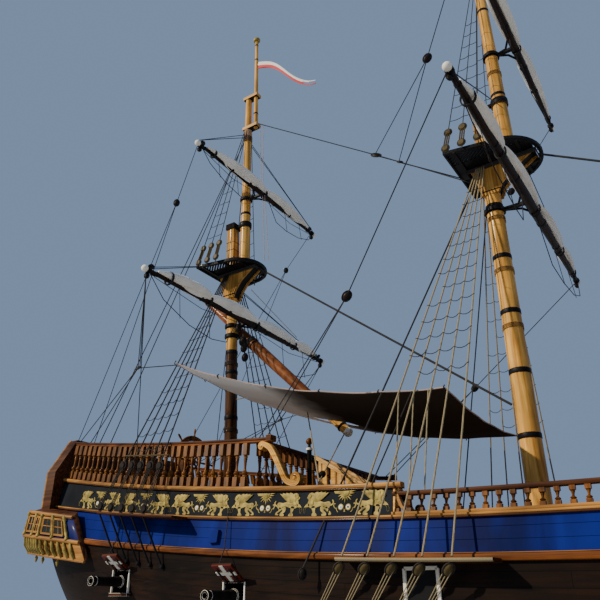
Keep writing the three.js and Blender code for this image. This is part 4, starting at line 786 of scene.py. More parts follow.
def place(shape, parts, x0, mirror, hand, mats, offset=(0, 0)):
    """Lays flat relief on the frieze: its x runs along the side and its y up from the sheer rail."""
    along, up = offset
    for (verts, faces), mat in zip(parts, mats):
        places = []
        for u, v, h in verts:
            x = x0 + mirror * (u + along)
            places.append(on_side(x, frieze_foot(x) + FRIEZE_MARGIN + v + up, hand, max(0, h) - 0.002))
        shape.add(places, faces, mat)


for hand, name in HANDS:
    carving = Shape()
    for x0 in SUNS:
        place(carving, CENTRE_PARTS, x0, 1, hand, [GOLD] * 4)
        for mirror in BOTH:
            place(carving, LION_PARTS, x0, mirror, hand, [GOLD] * 4)
            pupil = GROUND if mirror > 0 else LIGHT_BLUE
            place(carving, ROUNDEL, x0, mirror, hand, [GOLD, WHITE, pupil], (0.075, 0.14))
    carving.make("frieze_relief_" + name, slot="gold", angle=50)

# Caps, turned balusters and hand rails of the quarterdeck
BALUSTER = [(0.215, 0.034), (0.225, 0.046), (0.24, 0.046), (0.25, 0.03), (0.27, 0.052), (0.30, 0.062),
            (0.335, 0.052), (0.36, 0.026), (0.372, 0.036), (0.384, 0.026), (0.44, 0.024), (0.55, 0.03),
            (0.63, 0.04), (0.655, 0.03), (0.668, 0.046), (0.685, 0.046), (0.70, 0.032), (0.72, 0.032)]


def baluster(shape, foot, head, mat=TURNED, size=1.0, sides=10):
    """Turned baluster between square blocks at its foot and head."""
    foot, head = Vector(foot), Vector(head)
    half = 0.055 * size
    for a, b in ((0, 0.215), (0.72, 1)):
        ends = (foot.lerp(head, a), foot.lerp(head, b))
        shape.loft([[p + Vector((i * half, j * half, 0)) for i, j in SQUARE] for p in ends], mat)
    shape.lathe(foot, head, [(t, r * size) for t, r in BALUSTER], mat, sides)


RAIL_END, BALUSTER_STEP = -5.5, 0.225
CAP_PROFILE = rounded(-0.105, 0.06, -0.05, 0.03, 0.028)
for hand, name in HANDS:
    rails = Shape()
    moulding(rails, frieze_head, HEAD_LEAN, CAP_PROFILE, STERN, CAP_END, hand, GOLDEN)
    moulding(rails, frieze_head, HEAD_LEAN, rounded(-0.105, 0.045, -0.07, -0.048, 0.008), STERN, CAP_END,
             hand, BROWN)
    moulding(rails, rail_head, RAIL_LEAN, rounded(-0.10, 0.05, -0.06, 0.0, 0.022), STERN, RAIL_END, hand,
             BROWN)
    moulding(rails, rail_head, RAIL_LEAN, rounded(-0.09, 0.035, -0.095, -0.058, 0.01), STERN, RAIL_END, hand,
             WALE)
    x = STERN + 0.15
    while x < BREAK - 0.06:
        foot = (x + 0.05, hand * (side(x, HEAD_LEAN) - 0.06), frieze_head(x) + 0.03)
        baluster(rails, foot, (x - 0.05, hand * (side(x, RAIL_LEAN) - 0.018), rail_head(x) - 0.09))
        x += BALUSTER_STEP
    y, z = side(RAIL_END, RAIL_LEAN), rail_head(RAIL_END)
    low, high = (RAIL_END - 0.11, hand * (y - 0.12), z - 0.08), (RAIL_END + 0.01, hand * (y + 0.08), z + 0.04)
    rails.box(low, high, BROWN)
    # Golden post and curved bracket where the frieze ends
    for x, wide in ((FRIEZE_END + 0.025, 0.04), (FRIEZE_END + 0.10, 0.03)):
        foot, head = (on_side(x, z, hand, -0.05) for z in (frieze_foot(x) + 0.06, frieze_head(x) - 0.06))
        rails.beam(foot, head, wide, 0.08, YELLOW_X, (0, 1, 0))
    bracket = [(-2.69, 3.60), (-2.645, 3.47), (-2.58, 3.34), (-2.50, 3.24), (-2.42, 3.19)]
    rails.loft([[on_side(x + d, z, hand, out)
                 for d, out in ((-0.03, -0.08), (0.03, -0.08), (0.03, 0.02), (-0.03, 0.02))]
                for x, z in bracket], GOLDEN)
    rails.make("side_balustrade_" + name, slot="varnished_wood", bevel=0.004, replaces=["balustrade_" + name])

# Balustrade across the break of the quarterdeck
front = Shape()
x, half = BREAK - 0.09, side(BREAK, RAIL_LEAN) - 0.16
deck, top = quarterdeck_line(x), rail_head(x)
front.box((x - 0.08, -half, deck + 0.005), (x + 0.08, half, deck + 0.13), BROWN)
front.box((x - 0.08, -half, top - 0.06), (x + 0.08, half, top), BROWN)
front.box((x - 0.05, -half, top - 0.095), (x + 0.05, half, top - 0.058), BROWN)
y = -half + 0.06
while y <= half - 0.05:
    baluster(front, (x, y, deck + 0.12), (x, y, top - 0.09))
    y += BALUSTER_STEP
front.make("front_balustrade", slot="varnished_wood", bevel=0.005, replaces=["balustrade_front"])

# Low rail along the waist
for hand, name in HANDS:
    waist = Shape()
    moulding(waist, frieze_foot, FOOT_LEAN, rounded(-0.12, 0.02, 0.07, 0.12, 0.012), FRIEZE_END, FORECASTLE,
             hand, GOLDEN)
    moulding(waist, frieze_foot, 0.17, rounded(-0.12, 0.02, 0.38, 0.45, 0.02), FRIEZE_END, FORECASTLE, hand,
             BROWN)
    x = FRIEZE_END + 0.09
    while x < FORECASTLE - 0.06:
        z = frieze_foot(x)
        baluster(waist, (x, hand * (side(x, FOOT_LEAN) - 0.04), z + 0.12),
                 (x, hand * (side(x, 0.17) - 0.04), z + 0.385), TURNED, 0.75, 8)
        x += 0.21
    waist.make("waist_rail_" + name + "_turned", slot="varnished_wood", replaces=["waist_rail_" + name])

# Scrolls: a grooved band between two volutes
SCROLL_BAND = [(-5.61, 4.775), (-5.50, 4.69), (-5.39, 4.53), (-5.29, 4.35), (-5.195, 4.17), (-5.10, 4.02),
               (-5.0, 3.94)]


def volute(centre, start, turn, r0, r1, count):
    """A spiral of turn degrees from radius r0 to r1."""
    radii = [r0 + (r1 - r0) * k / count for k in range(count + 1)]
    return [(centre[0] + r * math.cos(math.radians(start + turn * k / count)),
             centre[1] + r * math.sin(math.radians(start + turn * k / count))) for k, r in enumerate(radii)]


def smooth_path(points, steps):
    """An open smooth curve through points."""
    last = len(points) - 1
    fours = [[Vector(points[min(last, max(0, i + k - 1))]) for k in range(4)] for i in range(last)]
    return [catmull_rom(four, s / steps) for four in fours for s in range(steps)] + [Vector(points[-1])]


UPPER_EYE, LOWER_EYE, SCROLL_Y = (-5.70, 4.735), (-4.90, 4.045), 2.83
SCROLL_SECTION = ((-1, -0.07), (-1, 0.058), (-0.8, 0.07), (-0.35, 0.066), (-0.3, 0.056), (-0.22, 0.07),
                  (0.22, 0.07), (0.3, 0.056), (0.35, 0.066), (0.8, 0.07), (1, 0.058), (1, -0.07))
upper = volute(UPPER_EYE, 35, 470, 0.068, 0.014, 22)[::-1]
lower = volute(LOWER_EYE, 232, 560, 0.118, 0.022, 30)
path = smooth_path(upper[::2] + SCROLL_BAND[1:-1] + lower[::2], 3)
lengths = [0]
for a, b in zip(path, path[1:]):
    lengths.append(lengths[-1] + (b - a).length)
for hand, name in HANDS:
    carved = Shape()
    rings = []
    for i, p in enumerate(path):
        along = (path[min(len(path) - 1, i + 1)] - path[max(0, i - 1)]).normalized()
        across = Vector((-along.y, along.x))
        end = min(lengths[i] / 0.45, (lengths[-1] - lengths[i]) / 0.75, 1)
        half = 0.014 + (0.058 - 0.014) * end
        places = [(p + across * half * t, out) for t, out in SCROLL_SECTION]
        rings.append([(q[0], hand * (SCROLL_Y + out), q[1]) for q, out in places])
    carved.loft(rings, [GOLDEN] + [YELLOW_X] * 9 + [GOLDEN, BROWN])
    for (cx, cz), r in ((UPPER_EYE, 0.022), (LOWER_EYE, 0.034)):
        carved.lathe((cx, hand * 2.77, cz), (cx, hand * 2.915, cz), [(0, r), (0.94, r), (1, r * 0.6)],
                     YELLOW_X, 12)
    carved.make("carved_scroll_" + name, slot="gold", replaces=["scroll_" + name], angle=45)


# Quarterdeck and forecastle: deck planks on top and panelled bulkheads at their ends
DECK_INSET = 0.18


def house(shape, a, b, deck_line, deck_lean):
    """The closed body under a raised deck."""
    rings = []
    for x in spread(a, b, 0.5):
        low, high = half_breadth(x) - DECK_INSET, side(x, deck_lean) - DECK_INSET
        foot = wale_line(x) - 0.06
        rings.append([(x, -low, foot), (x, low, foot), (x, high, deck_line(x)), (x, -high, deck_line(x))])
    shape.loft(rings, [BROWN, BROWN, DECK, BROWN])


def bulkhead(shape, x, out, half, low, high, doors):
    """Posts, rails, panels and doors on a wall across the ship; out is +1 or -1 along X."""
    def on_wall(thick0, thick1, y0, y1, z0, z1, mat):
        shape.box((x + out * thick0, y0, z0), (x + out * thick1, y1, z1), mat)

    step = 2 * half / 13
    for k in range(14):
        y = -half + k * step
        on_wall(0, 0.05, y - 0.035, y + 0.035, low, high, GOLDEN)
    for z0, z1 in ((low, low + 0.12), (high - 0.16, high - 0.02)):
        on_wall(0, 0.065, -half, half, z0, z1, BROWN)
    for y in doors:
        wide, tall = 0.36, min(1.15, high - low - 0.24)
        on_wall(0.02, 0.075, y - wide, y + wide, low + 0.1, low + 0.1 + tall, BROWN)
        for s in BOTH:
            on_wall(0.07, 0.095, y + s * 0.17 - 0.12, y + s * 0.17 + 0.12, low + 0.2, low + tall - 0.1,
                    GOLDEN)
        shape.lathe((x + out * 0.07, y + 0.3, low + 0.6), (x + out * 0.15, y + 0.3, low + 0.6),
                    [(0, 0.012), (0.5, 0.012), (0.6, 0.03), (0.85, 0.033), (1, 0.015)], GOLD, 10)


houses = Shape()
house(houses, STERN, BREAK, quarterdeck_line, HEAD_LEAN)
house(houses, FORECASTLE, NOSE, frieze_foot, FOOT_LEAN)
for x, out, level in ((BREAK, 1, quarterdeck_line(BREAK)), (FORECASTLE, -1, frieze_foot(FORECASTLE))):
    half = half_breadth(x) - 0.2
    houses.box((x, -half, WAIST_DECK), (x - out * 0.1, half, wale_line(x) - 0.06 + 0.01), BROWN)
    bulkhead(houses, x, out, half - 0.12, WAIST_DECK, level, (1.0,) if x < 0 else ())
for hand in BOTH:
    waterway = []
    for x in spread(BREAK, FORECASTLE, 0.6):
        y, z = half_breadth(x) - DECK_INSET, wale_line(x) - 0.05
        waterway.append([(x, hand * y, WAIST_DECK), (x, hand * y, z),
                         (x, hand * (half_breadth(x) - 0.10), z)])
    houses.loft(waterway, BROWN, closed=False)
houses.make("decks_and_bulkheads", slot="deck_wood", replaces=["quarterdeck", "forecastle"], bevel=0.004)

# Steps to the waist: boards, treads, flat balusters and hand rails, and black newel posts
steps = Shape()
LADDER_TOP = quarterdeck_line(BREAK) - 0.06
LADDER_RUN, LADDER_Y, LADDER_HALF, RAIL_UP = 2.3, -1.225, 0.3, 1.27


def on_ladder(t):
    """A place on the slope of the steps, t being the share of the way down."""
    return BREAK + LADDER_RUN * t, LADDER_TOP - (LADDER_TOP - WAIST_DECK) * t


BALUSTER_OUTLINE = [(-0.05, -0.02), (-0.05, 0.14), (-0.062, 0.40), (-0.03, 0.52), (-0.055, 0.62),
                    (-0.05, 1.22)]
for s in BOTH:
    y = LADDER_Y + s * LADDER_HALF
    outline = [(BREAK, LADDER_TOP), (BREAK, LADDER_TOP - 0.2), (BREAK + LADDER_RUN - 0.16, WAIST_DECK),
               (BREAK + LADDER_RUN, WAIST_DECK)]
    steps.loft([[(x, y + d, z) for x, z in outline] for d in (-0.03, 0.03)], GOLDEN)
    (x0, z0), (x1, z1) = on_ladder(0.275), on_ladder(0.985)
    head, foot = Vector((x0, y, z0 + RAIL_UP)), Vector((x1, y, z1 + RAIL_UP))
    lower = Vector((0, 0, 0.045))
    steps.beam(head, foot, 0.09, 0.05, LIGHT)
    steps.beam(head - lower, foot - lower, 0.05, 0.045, LIGHT)
    for t in (0.32, 0.53, 0.74, 0.95):
        x, z = on_ladder(t)
        steps.box((x - 0.035, y - 0.022, max(z - 0.09, WAIST_DECK)),
                  (x + 0.035, y + 0.022, z + RAIL_UP - 0.03), LIGHT)
    for k in range(7):
        x, z = on_ladder(0.365 + k * 0.088)
        flat = [(x + u, z + v) for u, v in BALUSTER_OUTLINE]
        flat += [(x - u, z + v) for u, v in BALUSTER_OUTLINE[::-1]]
        steps.loft([[(px, y + d, pz) for px, pz in flat] for d in (-0.014, 0.014)], YELLOW_X)
for k in range(1, 8):
    x, z = on_ladder(k / 8)
    y0, y1 = LADDER_Y - LADDER_HALF + 0.02, LADDER_Y + LADDER_HALF - 0.02
    steps.box((x - 0.14, y0, z - 0.07), (x + 0.06, y1, z - 0.03), DECK)
# Black newel post with a white ring and a ball beside the steps, and a turned post forward of them
BALL = [(0, 0.02), (0.12, 0.05), (0.35, 0.073), (0.6, 0.073), (0.85, 0.045), (1, 0.01)]
NEWEL = [(0, 0.05), (0.9, 0.05), (0.91, 0.06), (0.94, 0.06), (0.95, 0.035), (1, 0.03)]
POST = [(0, 0.05), (0.3, 0.05), (0.32, 0.035), (0.5, 0.06), (0.75, 0.05), (0.8, 0.03), (0.85, 0.06),
        (0.95, 0.05), (1, 0.03)]
NEWEL_TOP, POST_X = 5.13, -3.2
newel_y = LADDER_Y - LADDER_HALF
newel_x, newel_foot = on_ladder(0.2)
for x, z0, z1, profile, mat in (
        (newel_x, newel_foot, NEWEL_TOP - 0.14, NEWEL, BLACK),
        (newel_x, NEWEL_TOP - 0.27, NEWEL_TOP - 0.22, [(0, 0.064), (0.5, 0.07), (1, 0.064)], WHITE),
        (newel_x, NEWEL_TOP - 0.15, NEWEL_TOP, BALL, TURNED), (POST_X, WAIST_DECK, 3.72, POST, TURNED),
        (POST_X, 3.7, 3.85, BALL, TURNED)):
    steps.lathe((x, newel_y, z0), (x, newel_y, z1), profile, mat, 12)
steps.make("waist_steps", slot="deck_wood", replaces=["ladder"], bevel=0.003)


# Steering wheel, its stand, capstan, hatch and bitts
WHEEL_X, WHEEL_Z, RIM, SPOKE, STAND_X = -10.25, 5.39, 0.62, 0.9, -10.56
SPOKE_PROFILE = [(0.1, 0.032), (0.2, 0.02), (0.27, 0.032), (0.31, 0.02), (0.48, 0.028), (0.58, 0.02),
                 (0.74, 0.02), (0.77, 0.03), (0.79, 0.018), (0.88, 0.03), (0.97, 0.026), (1, 0.008)]
wheel = Shape()
for radius, thick in ((RIM, 0.036), (RIM + 0.045, 0.028), (RIM - 0.045, 0.028), (0.2, 0.022)):
    ring = [(WHEEL_X, radius * math.sin(a), WHEEL_Z + radius * math.cos(a)) for a in angles(32)]
    wheel.tube(ring, thick, TURNED, 8, closed=True)
hub = Vector((WHEEL_X, 0, WHEEL_Z))
for k in range(8):
    a = k * math.pi / 4
    wheel.lathe(hub, hub + Vector((0, math.sin(a), math.cos(a))) * SPOKE, SPOKE_PROFILE, TURNED, 8)
wheel.lathe((WHEEL_X - 0.15, 0, WHEEL_Z), (WHEEL_X + 0.09, 0, WHEEL_Z),
            [(0, 0.06), (0.1, 0.095), (0.5, 0.095), (0.8, 0.08), (0.9, 0.04), (1, 0.02)], TURNED, 16)
wheel.make("turned_wheel", "wheel", "varnished_wood", ["steering_wheel"])

stand = Shape()
foot_z = quarterdeck_line(STAND_X)
stand.box((STAND_X - 0.11, -0.33, foot_z - 0.02), (STAND_X + 0.11, 0.33, foot_z + 0.10), BROWN)
stand.box((STAND_X - 0.08, -0.13, foot_z + 0.08), (STAND_X + 0.08, 0.13, WHEEL_Z + 0.1), BROWN)
stand.box((STAND_X - 0.1, -0.15, WHEEL_Z + 0.08), (STAND_X + 0.1, 0.15, WHEEL_Z + 0.17), GOLDEN)
stand.lathe((STAND_X, 0, WHEEL_Z), (WHEEL_X - 0.1505, 0, WHEEL_Z), [(0, 0.06), (1, 0.06)], IRON, 16)
for k in (0, 3, 6):
    ring = [(STAND_X + 0.09 + k * 0.006, y, z) for y, z in disc(0, WHEEL_Z, 0.068, 16)]
    stand.tube(ring, 0.01, HEMP, 6, closed=True)
stand.make("wheel_pedestal", slot="varnished_wood", replaces=["wheel_stand"], bevel=0.01)

CAPSTAN_X = 3.9
DRUM = [(0.0005, 0.32), (0.11, 0.32), (0.12, 0.24), (0.45, 0.19), (0.70, 0.21), (0.75, 0.29), (0.79, 0.31),
        (0.95, 0.31), (0.985, 0.28), (1, 0.2)]
BAR = [(0, 0.04), (0.3, 0.042), (0.9, 0.032), (0.98, 0.034), (1, 0.02)]
drum = Shape()
drum.lathe((CAPSTAN_X, 0, WAIST_DECK), (CAPSTAN_X, 0, WAIST_DECK + 1.0), DRUM, TURNED, 28)
base = Vector((CAPSTAN_X, 0, WAIST_DECK))
# Upright whelps round the drum, then the bars in its head
for k in range(8):
    a = k * math.pi / 4 + 0.2
    out, across = Vector((math.cos(a), math.sin(a), 0)), Vector((-math.sin(a), math.cos(a), 0))
    drum.loft([[base + out * r + Vector((0, 0, z)) + across * w
                for r, w in ((0.15, -0.035), (deep, -0.03), (deep, 0.03), (0.15, 0.035))]
               for z, deep in ((0.11, 0.285), (0.4, 0.245), (0.74, 0.25))], BROWN)
for k in range(6):
    a = k * math.pi / 3
    way = Vector((math.cos(a), math.sin(a), 0))
    bar_foot = Vector((CAPSTAN_X, 0, WAIST_DECK + 0.88))
    drum.lathe(bar_foot + way * 0.1, bar_foot + way * 1.15, BAR, LIGHT, 8)
drum.make("capstan_drum", "capstan", "varnished_wood", ["capstan"], 0.004)

HATCH_AFT, HATCH_FORE, HATCH_HALF, COAMING = 0.6, 2.2, 0.8, 0.12
grating = Shape()
inner, fore = HATCH_HALF - COAMING, HATCH_FORE - COAMING
for x0, y0, x1, y1 in ((HATCH_AFT, -HATCH_HALF, HATCH_FORE, -inner),
                       (HATCH_AFT, inner, HATCH_FORE, HATCH_HALF),
                       (HATCH_AFT, -inner, HATCH_AFT + COAMING, inner), (fore, -inner, HATCH_FORE, inner)):
    grating.box((x0, y0, WAIST_DECK), (x1, y1, WAIST_DECK + 0.26), GOLDEN)
grating.box((HATCH_AFT + 0.1, -0.7, WAIST_DECK), (HATCH_FORE - 0.1, 0.7, WAIST_DECK + 0.18), BLACK)
for k in range(15):
    y = -0.63 + k * 0.09
    x = (HATCH_AFT + HATCH_FORE) / 2 + y
    low, high = WAIST_DECK + 0.19, WAIST_DECK + 0.238
    grating.box((HATCH_AFT + COAMING, y - 0.02, low), (fore, y + 0.02, high), LIGHT)
    grating.box((x - 0.02, -inner, WAIST_DECK + 0.2), (x + 0.02, inner, WAIST_DECK + 0.245), LIGHT)
grating.make("hatch_and_grating", slot="deck_wood", replaces=["hatch_grating"], bevel=0.006)

BITT_X, BITT_Y, HAWSER_R = 6.2, 0.7, 0.1705
BITT = ((0, 0.12), (0.72, 0.12), (0.76, 0.095), (0.80, 0.095), (0.84, 0.12), (0.92, 0.12), (0.95, 0.09))
posts = Shape()
for s in BOTH:
    posts.loft([[(BITT_X + i * half, s * BITT_Y + j * half, WAIST_DECK + z) for i, j in SQUARE]
                for z, half in BITT], BROWN)
posts.box((BITT_X - 0.08, -1.05, WAIST_DECK + 0.52), (BITT_X + 0.08, 1.05, WAIST_DECK + 0.70), GOLDEN)
for s in BOTH:
    for k in range(3):
        ring = [(x, y, WAIST_DECK + 0.2 + k * 0.055) for x, y in disc(BITT_X, s * BITT_Y, HAWSER_R, 16)]
        posts.tube(ring, 0.027, HEMP, 6, closed=True)
posts.make("bitts_with_hawser", slot="varnished_wood", replaces=["mooring_bitts"], bevel=0.008)

# Stern: transom with panels, windows and carving, and a quarter gallery on each side
def square_tube(shape, points, size, mat):
    """Straight squared pieces along points."""
    for a, b in zip(points, points[1:]):
        shape.beam(a, b, size, size, mat)


stern = Shape()
TRANSOM = [(2.961, 2.42), (3.511, 2.61), (4.953, 2.61), (5.879, 2.07)]
BACK = -12.9
ring = [(y, z) for z, y in TRANSOM] + [(-y, z) for z, y in reversed(TRANSOM)]
stern.loft([[(x, y, z) for y, z in ring] for x in (BACK, STERN)], BROWN)


def across_at(z):
    """Half breadth of the transom at a height."""
    for (z0, y0), (z1, y1) in zip(TRANSOM, TRANSOM[1:]):
        if z <= z1:
            return y0 + (y1 - y0) * (z - z0) / (z1 - z0)
    return TRANSOM[-1][1]


def panel(low, high, mat):
    """A painted panel between two heights of the transom."""
    outline = [(across_at(z) - 0.12, z) for z in (low, (low + high) / 2, high)]
    ring = outline + [(-y, z) for y, z in reversed(outline)]
    stern.loft([[(x, y, z) for y, z in ring] for x in (BACK + 0.01, BACK - 0.012)], mat)


panel(3.06, 3.50, GROUND)
panel(3.56, 4.58, BLUE)
panel(4.66, 5.76, GROUND)
for z, size in ((3.02, 0.10), (3.53, 0.075), (4.62, 0.085), (5.83, 0.09)):
    y = across_at(z) - 0.02
    stern.beam((BACK - 0.03, -y, z), (BACK - 0.03, y, z), size, size, GOLDEN)
for s in BOTH:
    edge = [(BACK - 0.03, s * (y - 0.05), z) for z, y in TRANSOM]
    stern.tube(edge, 0.055, GOLDEN, 8)
WINDOW_STEP = 0.7
COLUMN = [(0, 0.05), (0.08, 0.05), (0.1, 0.03), (0.2, 0.045), (0.5, 0.03), (0.85, 0.04), (0.9, 0.055),
          (1, 0.055)]
for k in range(7):
    y = -2.1 + WINDOW_STEP * k
    stern.lathe((BACK - 0.05, y, 3.57), (BACK - 0.05, y, 4.58), COLUMN, GOLDEN, 10)


def window_part(back, front, y, half, z0, z1, mat):
    stern.box((BACK - back, y - half, z0), (BACK - front, y + half, z1), mat)


for k in range(6):
    y = -1.75 + WINDOW_STEP * k
    window_part(0.03, 0.005, y, 0.23, 3.72, 4.44, GOLDEN)
    window_part(0.036, 0.02, y, 0.19, 3.76, 4.40, GLASS)
    window_part(0.045, 0.03, y, 0.012, 3.76, 4.40, GOLDEN)
    for z in (3.97, 4.19):
        window_part(0.045, 0.03, y, 0.19, z - 0.012, z + 0.012, GOLDEN)


def on_transom(parts, y0, z0, size, mirror):
    """Lays flat relief on the transom, that many times larger."""
    for verts, faces in parts:
        places = [(BACK - 0.012 - max(0, h) * size, y0 + mirror * u * size, z0 + v * size)
                  for u, v, h in verts]
        stern.add(places, faces, GOLD)


on_transom(CENTRE_PARTS, 0, 4.74, 2.0, 1)
for s in BOTH:
    on_transom(LION_PARTS, s * 0.15, 4.76, 1.75, s)
    for y in (0.0, 1.1):
        on_transom(LION_PARTS, s * y + s * 0.1, 3.09, 0.86, s)

# Quarter galleries. A station is x of the foot, x of the head and how far it stands out. An edge is its share
# of the way from foot to head, its share of how far out, its line and how far above that line it is
GALLERY_STATIONS = ((-12.9, -12.9, 0.43), (-12.3, -12.3, 0.43), (-10.62, -11.32, 0.13))
EDGES = ((0, 0, wale_line, -0.33), (0, 0.55, wale_line, -0.43), (0.35, 1, wale_line, -0.04),
         (1, 0.85, frieze_foot, -0.16), (1, 0, frieze_foot, -0.02))
GALLERY_POST = [(0, 0.05), (0.1, 0.05), (0.13, 0.03), (0.3, 0.042), (0.8, 0.03), (0.86, 0.05), (1, 0.05)]
PENDANT = [(0, 0.008), (0.2, 0.03), (0.4, 0.04), (0.6, 0.02), (0.7, 0.05), (1, 0.07)]


def gallery(hand, u, edge, extra=0.0):
    """A point of the quarter gallery: u runs from its back (0) over its corner (1) to its fore end (2)."""
    t, out, curve, lift = EDGES[edge]
    k = 0 if u < 1 else 1
    (l0, h0, p0), (l1, h1, p1) = GALLERY_STATIONS[k], GALLERY_STATIONS[k + 1]
    f = u - k
    low, high, proud = l0 + (l1 - l0) * f, h0 + (h1 - h0) * f, p0 + (p1 - p0) * f
    x = low + (high - low) * t
    return Vector((x, hand * (half_breadth(max(x, STERN)) + 0.075 + proud * out + extra), curve(x) + lift))


def window_face(hand, u, w, extra):
    """A point of the gallery's upright face, w being the share of its height."""
    return gallery(hand, u, 2, extra).lerp(gallery(hand, u, 3, extra), w)


stations = [0, 0.5, 1] + [1 + k / 6 for k in range(1, 7)]
for hand in BOTH:
    stern.loft([[gallery(hand, u, k) for k in range(5)] for u in stations],
               [BROWN, GOLDEN, BLUE, BROWN, BROWN])
    for k, size in ((1, 0.032), (2, 0.045), (3, 0.045)):
        stern.tube([gallery(hand, u, k, 0.01) for u in stations], size, GOLDEN, 8)
    for u0, u1 in ((0.12, 0.52), (0.62, 0.97), (1.08, 1.34), (1.42, 1.66)):
        corner = [window_face(hand, u, w, 0.012) for u, w in ((u0, 0.2), (u1, 0.2), (u1, 0.85), (u0, 0.85))]
        outer = [p + Vector((0, hand * 0.012, 0)) for p in corner]
        stern.loft([corner, outer], GLASS)
        square_tube(stern, outer + [outer[0]], 0.045, GOLDEN)
        square_tube(stern, [window_face(hand, (u0 + u1) / 2, w, 0.026) for w in (0.2, 0.85)], 0.022, GOLDEN)
        square_tube(stern, [window_face(hand, u, 0.52, 0.026) for u in (u0, u1)], 0.022, GOLDEN)
    for u in (0.04, 0.57, 1.02, 1.38, 1.74):
        foot, head = (window_face(hand, u, w, 0.03) for w in (0.04, 0.97))
        stern.lathe(foot, head, GALLERY_POST, GOLD, 10)
    # Carved leaves and pendants under the gallery
    for k in range(13):
        low, high = (gallery(hand, 0.05 + k * 0.145, edge) for edge in (1, 2))
        bend = (low + high) / 2 + Vector((0, hand * 0.05, -0.02))
        tip = low + Vector((0, -hand * 0.02, -0.03))
        stern.tube([tip, low, bend, high], [0.012, 0.035, 0.04, 0.03], GOLD, 6)
    for u in (0.3, 0.8, 1.3):
        foot = gallery(hand, u, 1, -0.12)
        stern.lathe(foot + Vector((0, 0, -0.2)), foot + Vector((0, 0, 0.05)), PENDANT, GOLD, 10)
stern.make("stern_and_galleries", slot="gold", replaces=["stern_gallery"], bevel=0.004)

# Knee of the head: a carved volute, its edges picked out in gold, with the rails beside it
KNEE_X, EYE_X, EYE_Z, EYE_R = 13.2, 15.3, 3.85, 0.35
knee = Shape()


def drawn_curve(a, b, c):
    """A curve from a to c that is drawn towards b."""
    a, b, c = Vector(a), Vector(b), Vector(c)
    return [a * (1 - t) ** 2 + b * 2 * t * (1 - t) + c * t ** 2 for t in [k / 8 for k in range(9)]]


under = drawn_curve((KNEE_X, 1.5), (KNEE_X + 0.9, 2.3), (EYE_X, 3.5))
eye = [Vector(p) for p in arc(EYE_X, EYE_Z, EYE_R, -90, 153, 16)]
over = drawn_curve(eye[-1], (KNEE_X + 0.9, 3.15), (KNEE_X, 3.05))
outline = under[:-1] + eye + over[1:]
knee.loft([[(v.x, y, v.y) for v in outline] for y in (-0.11, 0.11)], [HULL])
knee.tube([(v.x, 0, v.y) for v in under + eye + over[1:-1]], 0.05, GOLDEN, 8)
for s in BOTH:
    spiral = [(x, s * 0.115, z) for x, z in volute((EYE_X, EYE_Z), -90, 720, 0.27, 0.03, 30)]
    knee.tube(spiral, [0.035 - 0.0007 * k for k in range(31)], GOLD, 8)
    for share in (0.25, 0.5, 0.75):
        places = [a.lerp(b, share) for a, b in zip(under, reversed(over))]
        knee.tube([(p.x, s * 0.115, p.y) for p in places], 0.022, GOLD, 6)
    rail = [(x, s * y, z) for x, y, z in (
        (12.91, 0.25, 3.7), (13.6, 0.24, 3.66), (14.4, 0.23, 3.65), (14.9, 0.15, 3.78), (15.35, 0.06, 3.95))]
    knee.tube(rail, [0.06, 0.056, 0.05, 0.047, 0.045], GOLDEN, 10)
    for x, low in ((13.45, 3.02), (13.85, 3.03), (14.25, 3.12), (14.65, 3.30)):
        knee.lathe((x, s * 0.10, low), (x, s * 0.22, 3.68),
                   [(0, 0.03), (0.3, 0.04), (0.5, 0.022), (0.8, 0.035), (1, 0.02)], GOLD, 8)
knee.make("carved_head", slot="gold", replaces=["beakhead"], bevel=0.006)


def dress(node, mat):
    """Gives a plain node of the frame a wood material and flat faces with crisp edges."""
    mesh = bpy.data.objects[node].data
    mesh.materials.clear()
    mesh.materials.append(mat)
    mesh.polygons.foreach_set("material_index", [0] * len(mesh.polygons))
    mesh.normals_split_custom_set([(0, 0, 0)] * len(mesh.loops))
    mesh.polygons.foreach_set("use_smooth", [True] * len(mesh.polygons))
    mesh.set_sharp_from_angle(angle=math.radians(35))


dress("backbone", HULL)
dress("rudder", HULL)
straps = Shape()
for z in (-2.1, -1.2, -0.3, 0.6, 1.5):
    rudder_wide = 0.95 - 0.65 * (z + 2.45) / 4.5
    straps.box((-13.0 - 0.8 * rudder_wide, -0.058, z - 0.045), (-13.05, 0.058, z + 0.045), IRON)
straps.make("rudder_straps", "rudder", "black_iron", bevel=0.004)

# Masts, as in the frame: lower mast, top, topmast and pole, with the stations (x, z) of each spar
MASTS = {
    "mizzen": {"foot": (-8.86, 4.15), "head": (-9.23, 12.5), "radii": (0.185, 0.135), "top": 10.88,
               "half": 0.98, "topmast": ((-8.711, 10.94), (-8.825, 17.65)), "topmast_radii": (0.165, 0.1),
               "pole": ((-8.48, 16.17), (-8.58, 20.15)), "pole_radius": 0.075, "bands": (16.25, 17.56)},
    "main": {"foot": (-1.18, 2.44), "head": (-1.18, 13.3), "radii": (0.235, 0.175), "top": 11.5, "half": 1.15,
             "topmast": ((-0.66, 11.56), (-0.70, 19.4)), "topmast_radii": (0.19, 0.115),
             "pole": ((-0.37, 17.9), (-0.41, 23.2)), "pole_radius": 0.085, "bands": (17.98, 19.3)},
    "fore": {"foot": (9.0, 3.4), "head": (9.06, 12.7), "radii": (0.215, 0.16), "top": 11.0, "half": 1.05,
             "topmast": ((9.56, 11.06), (9.58, 18.3)), "topmast_radii": (0.175, 0.105),
             "pole": ((9.88, 16.9), (9.90, 21.7)), "pole_radius": 0.08, "bands": (16.98, 18.2)},
}
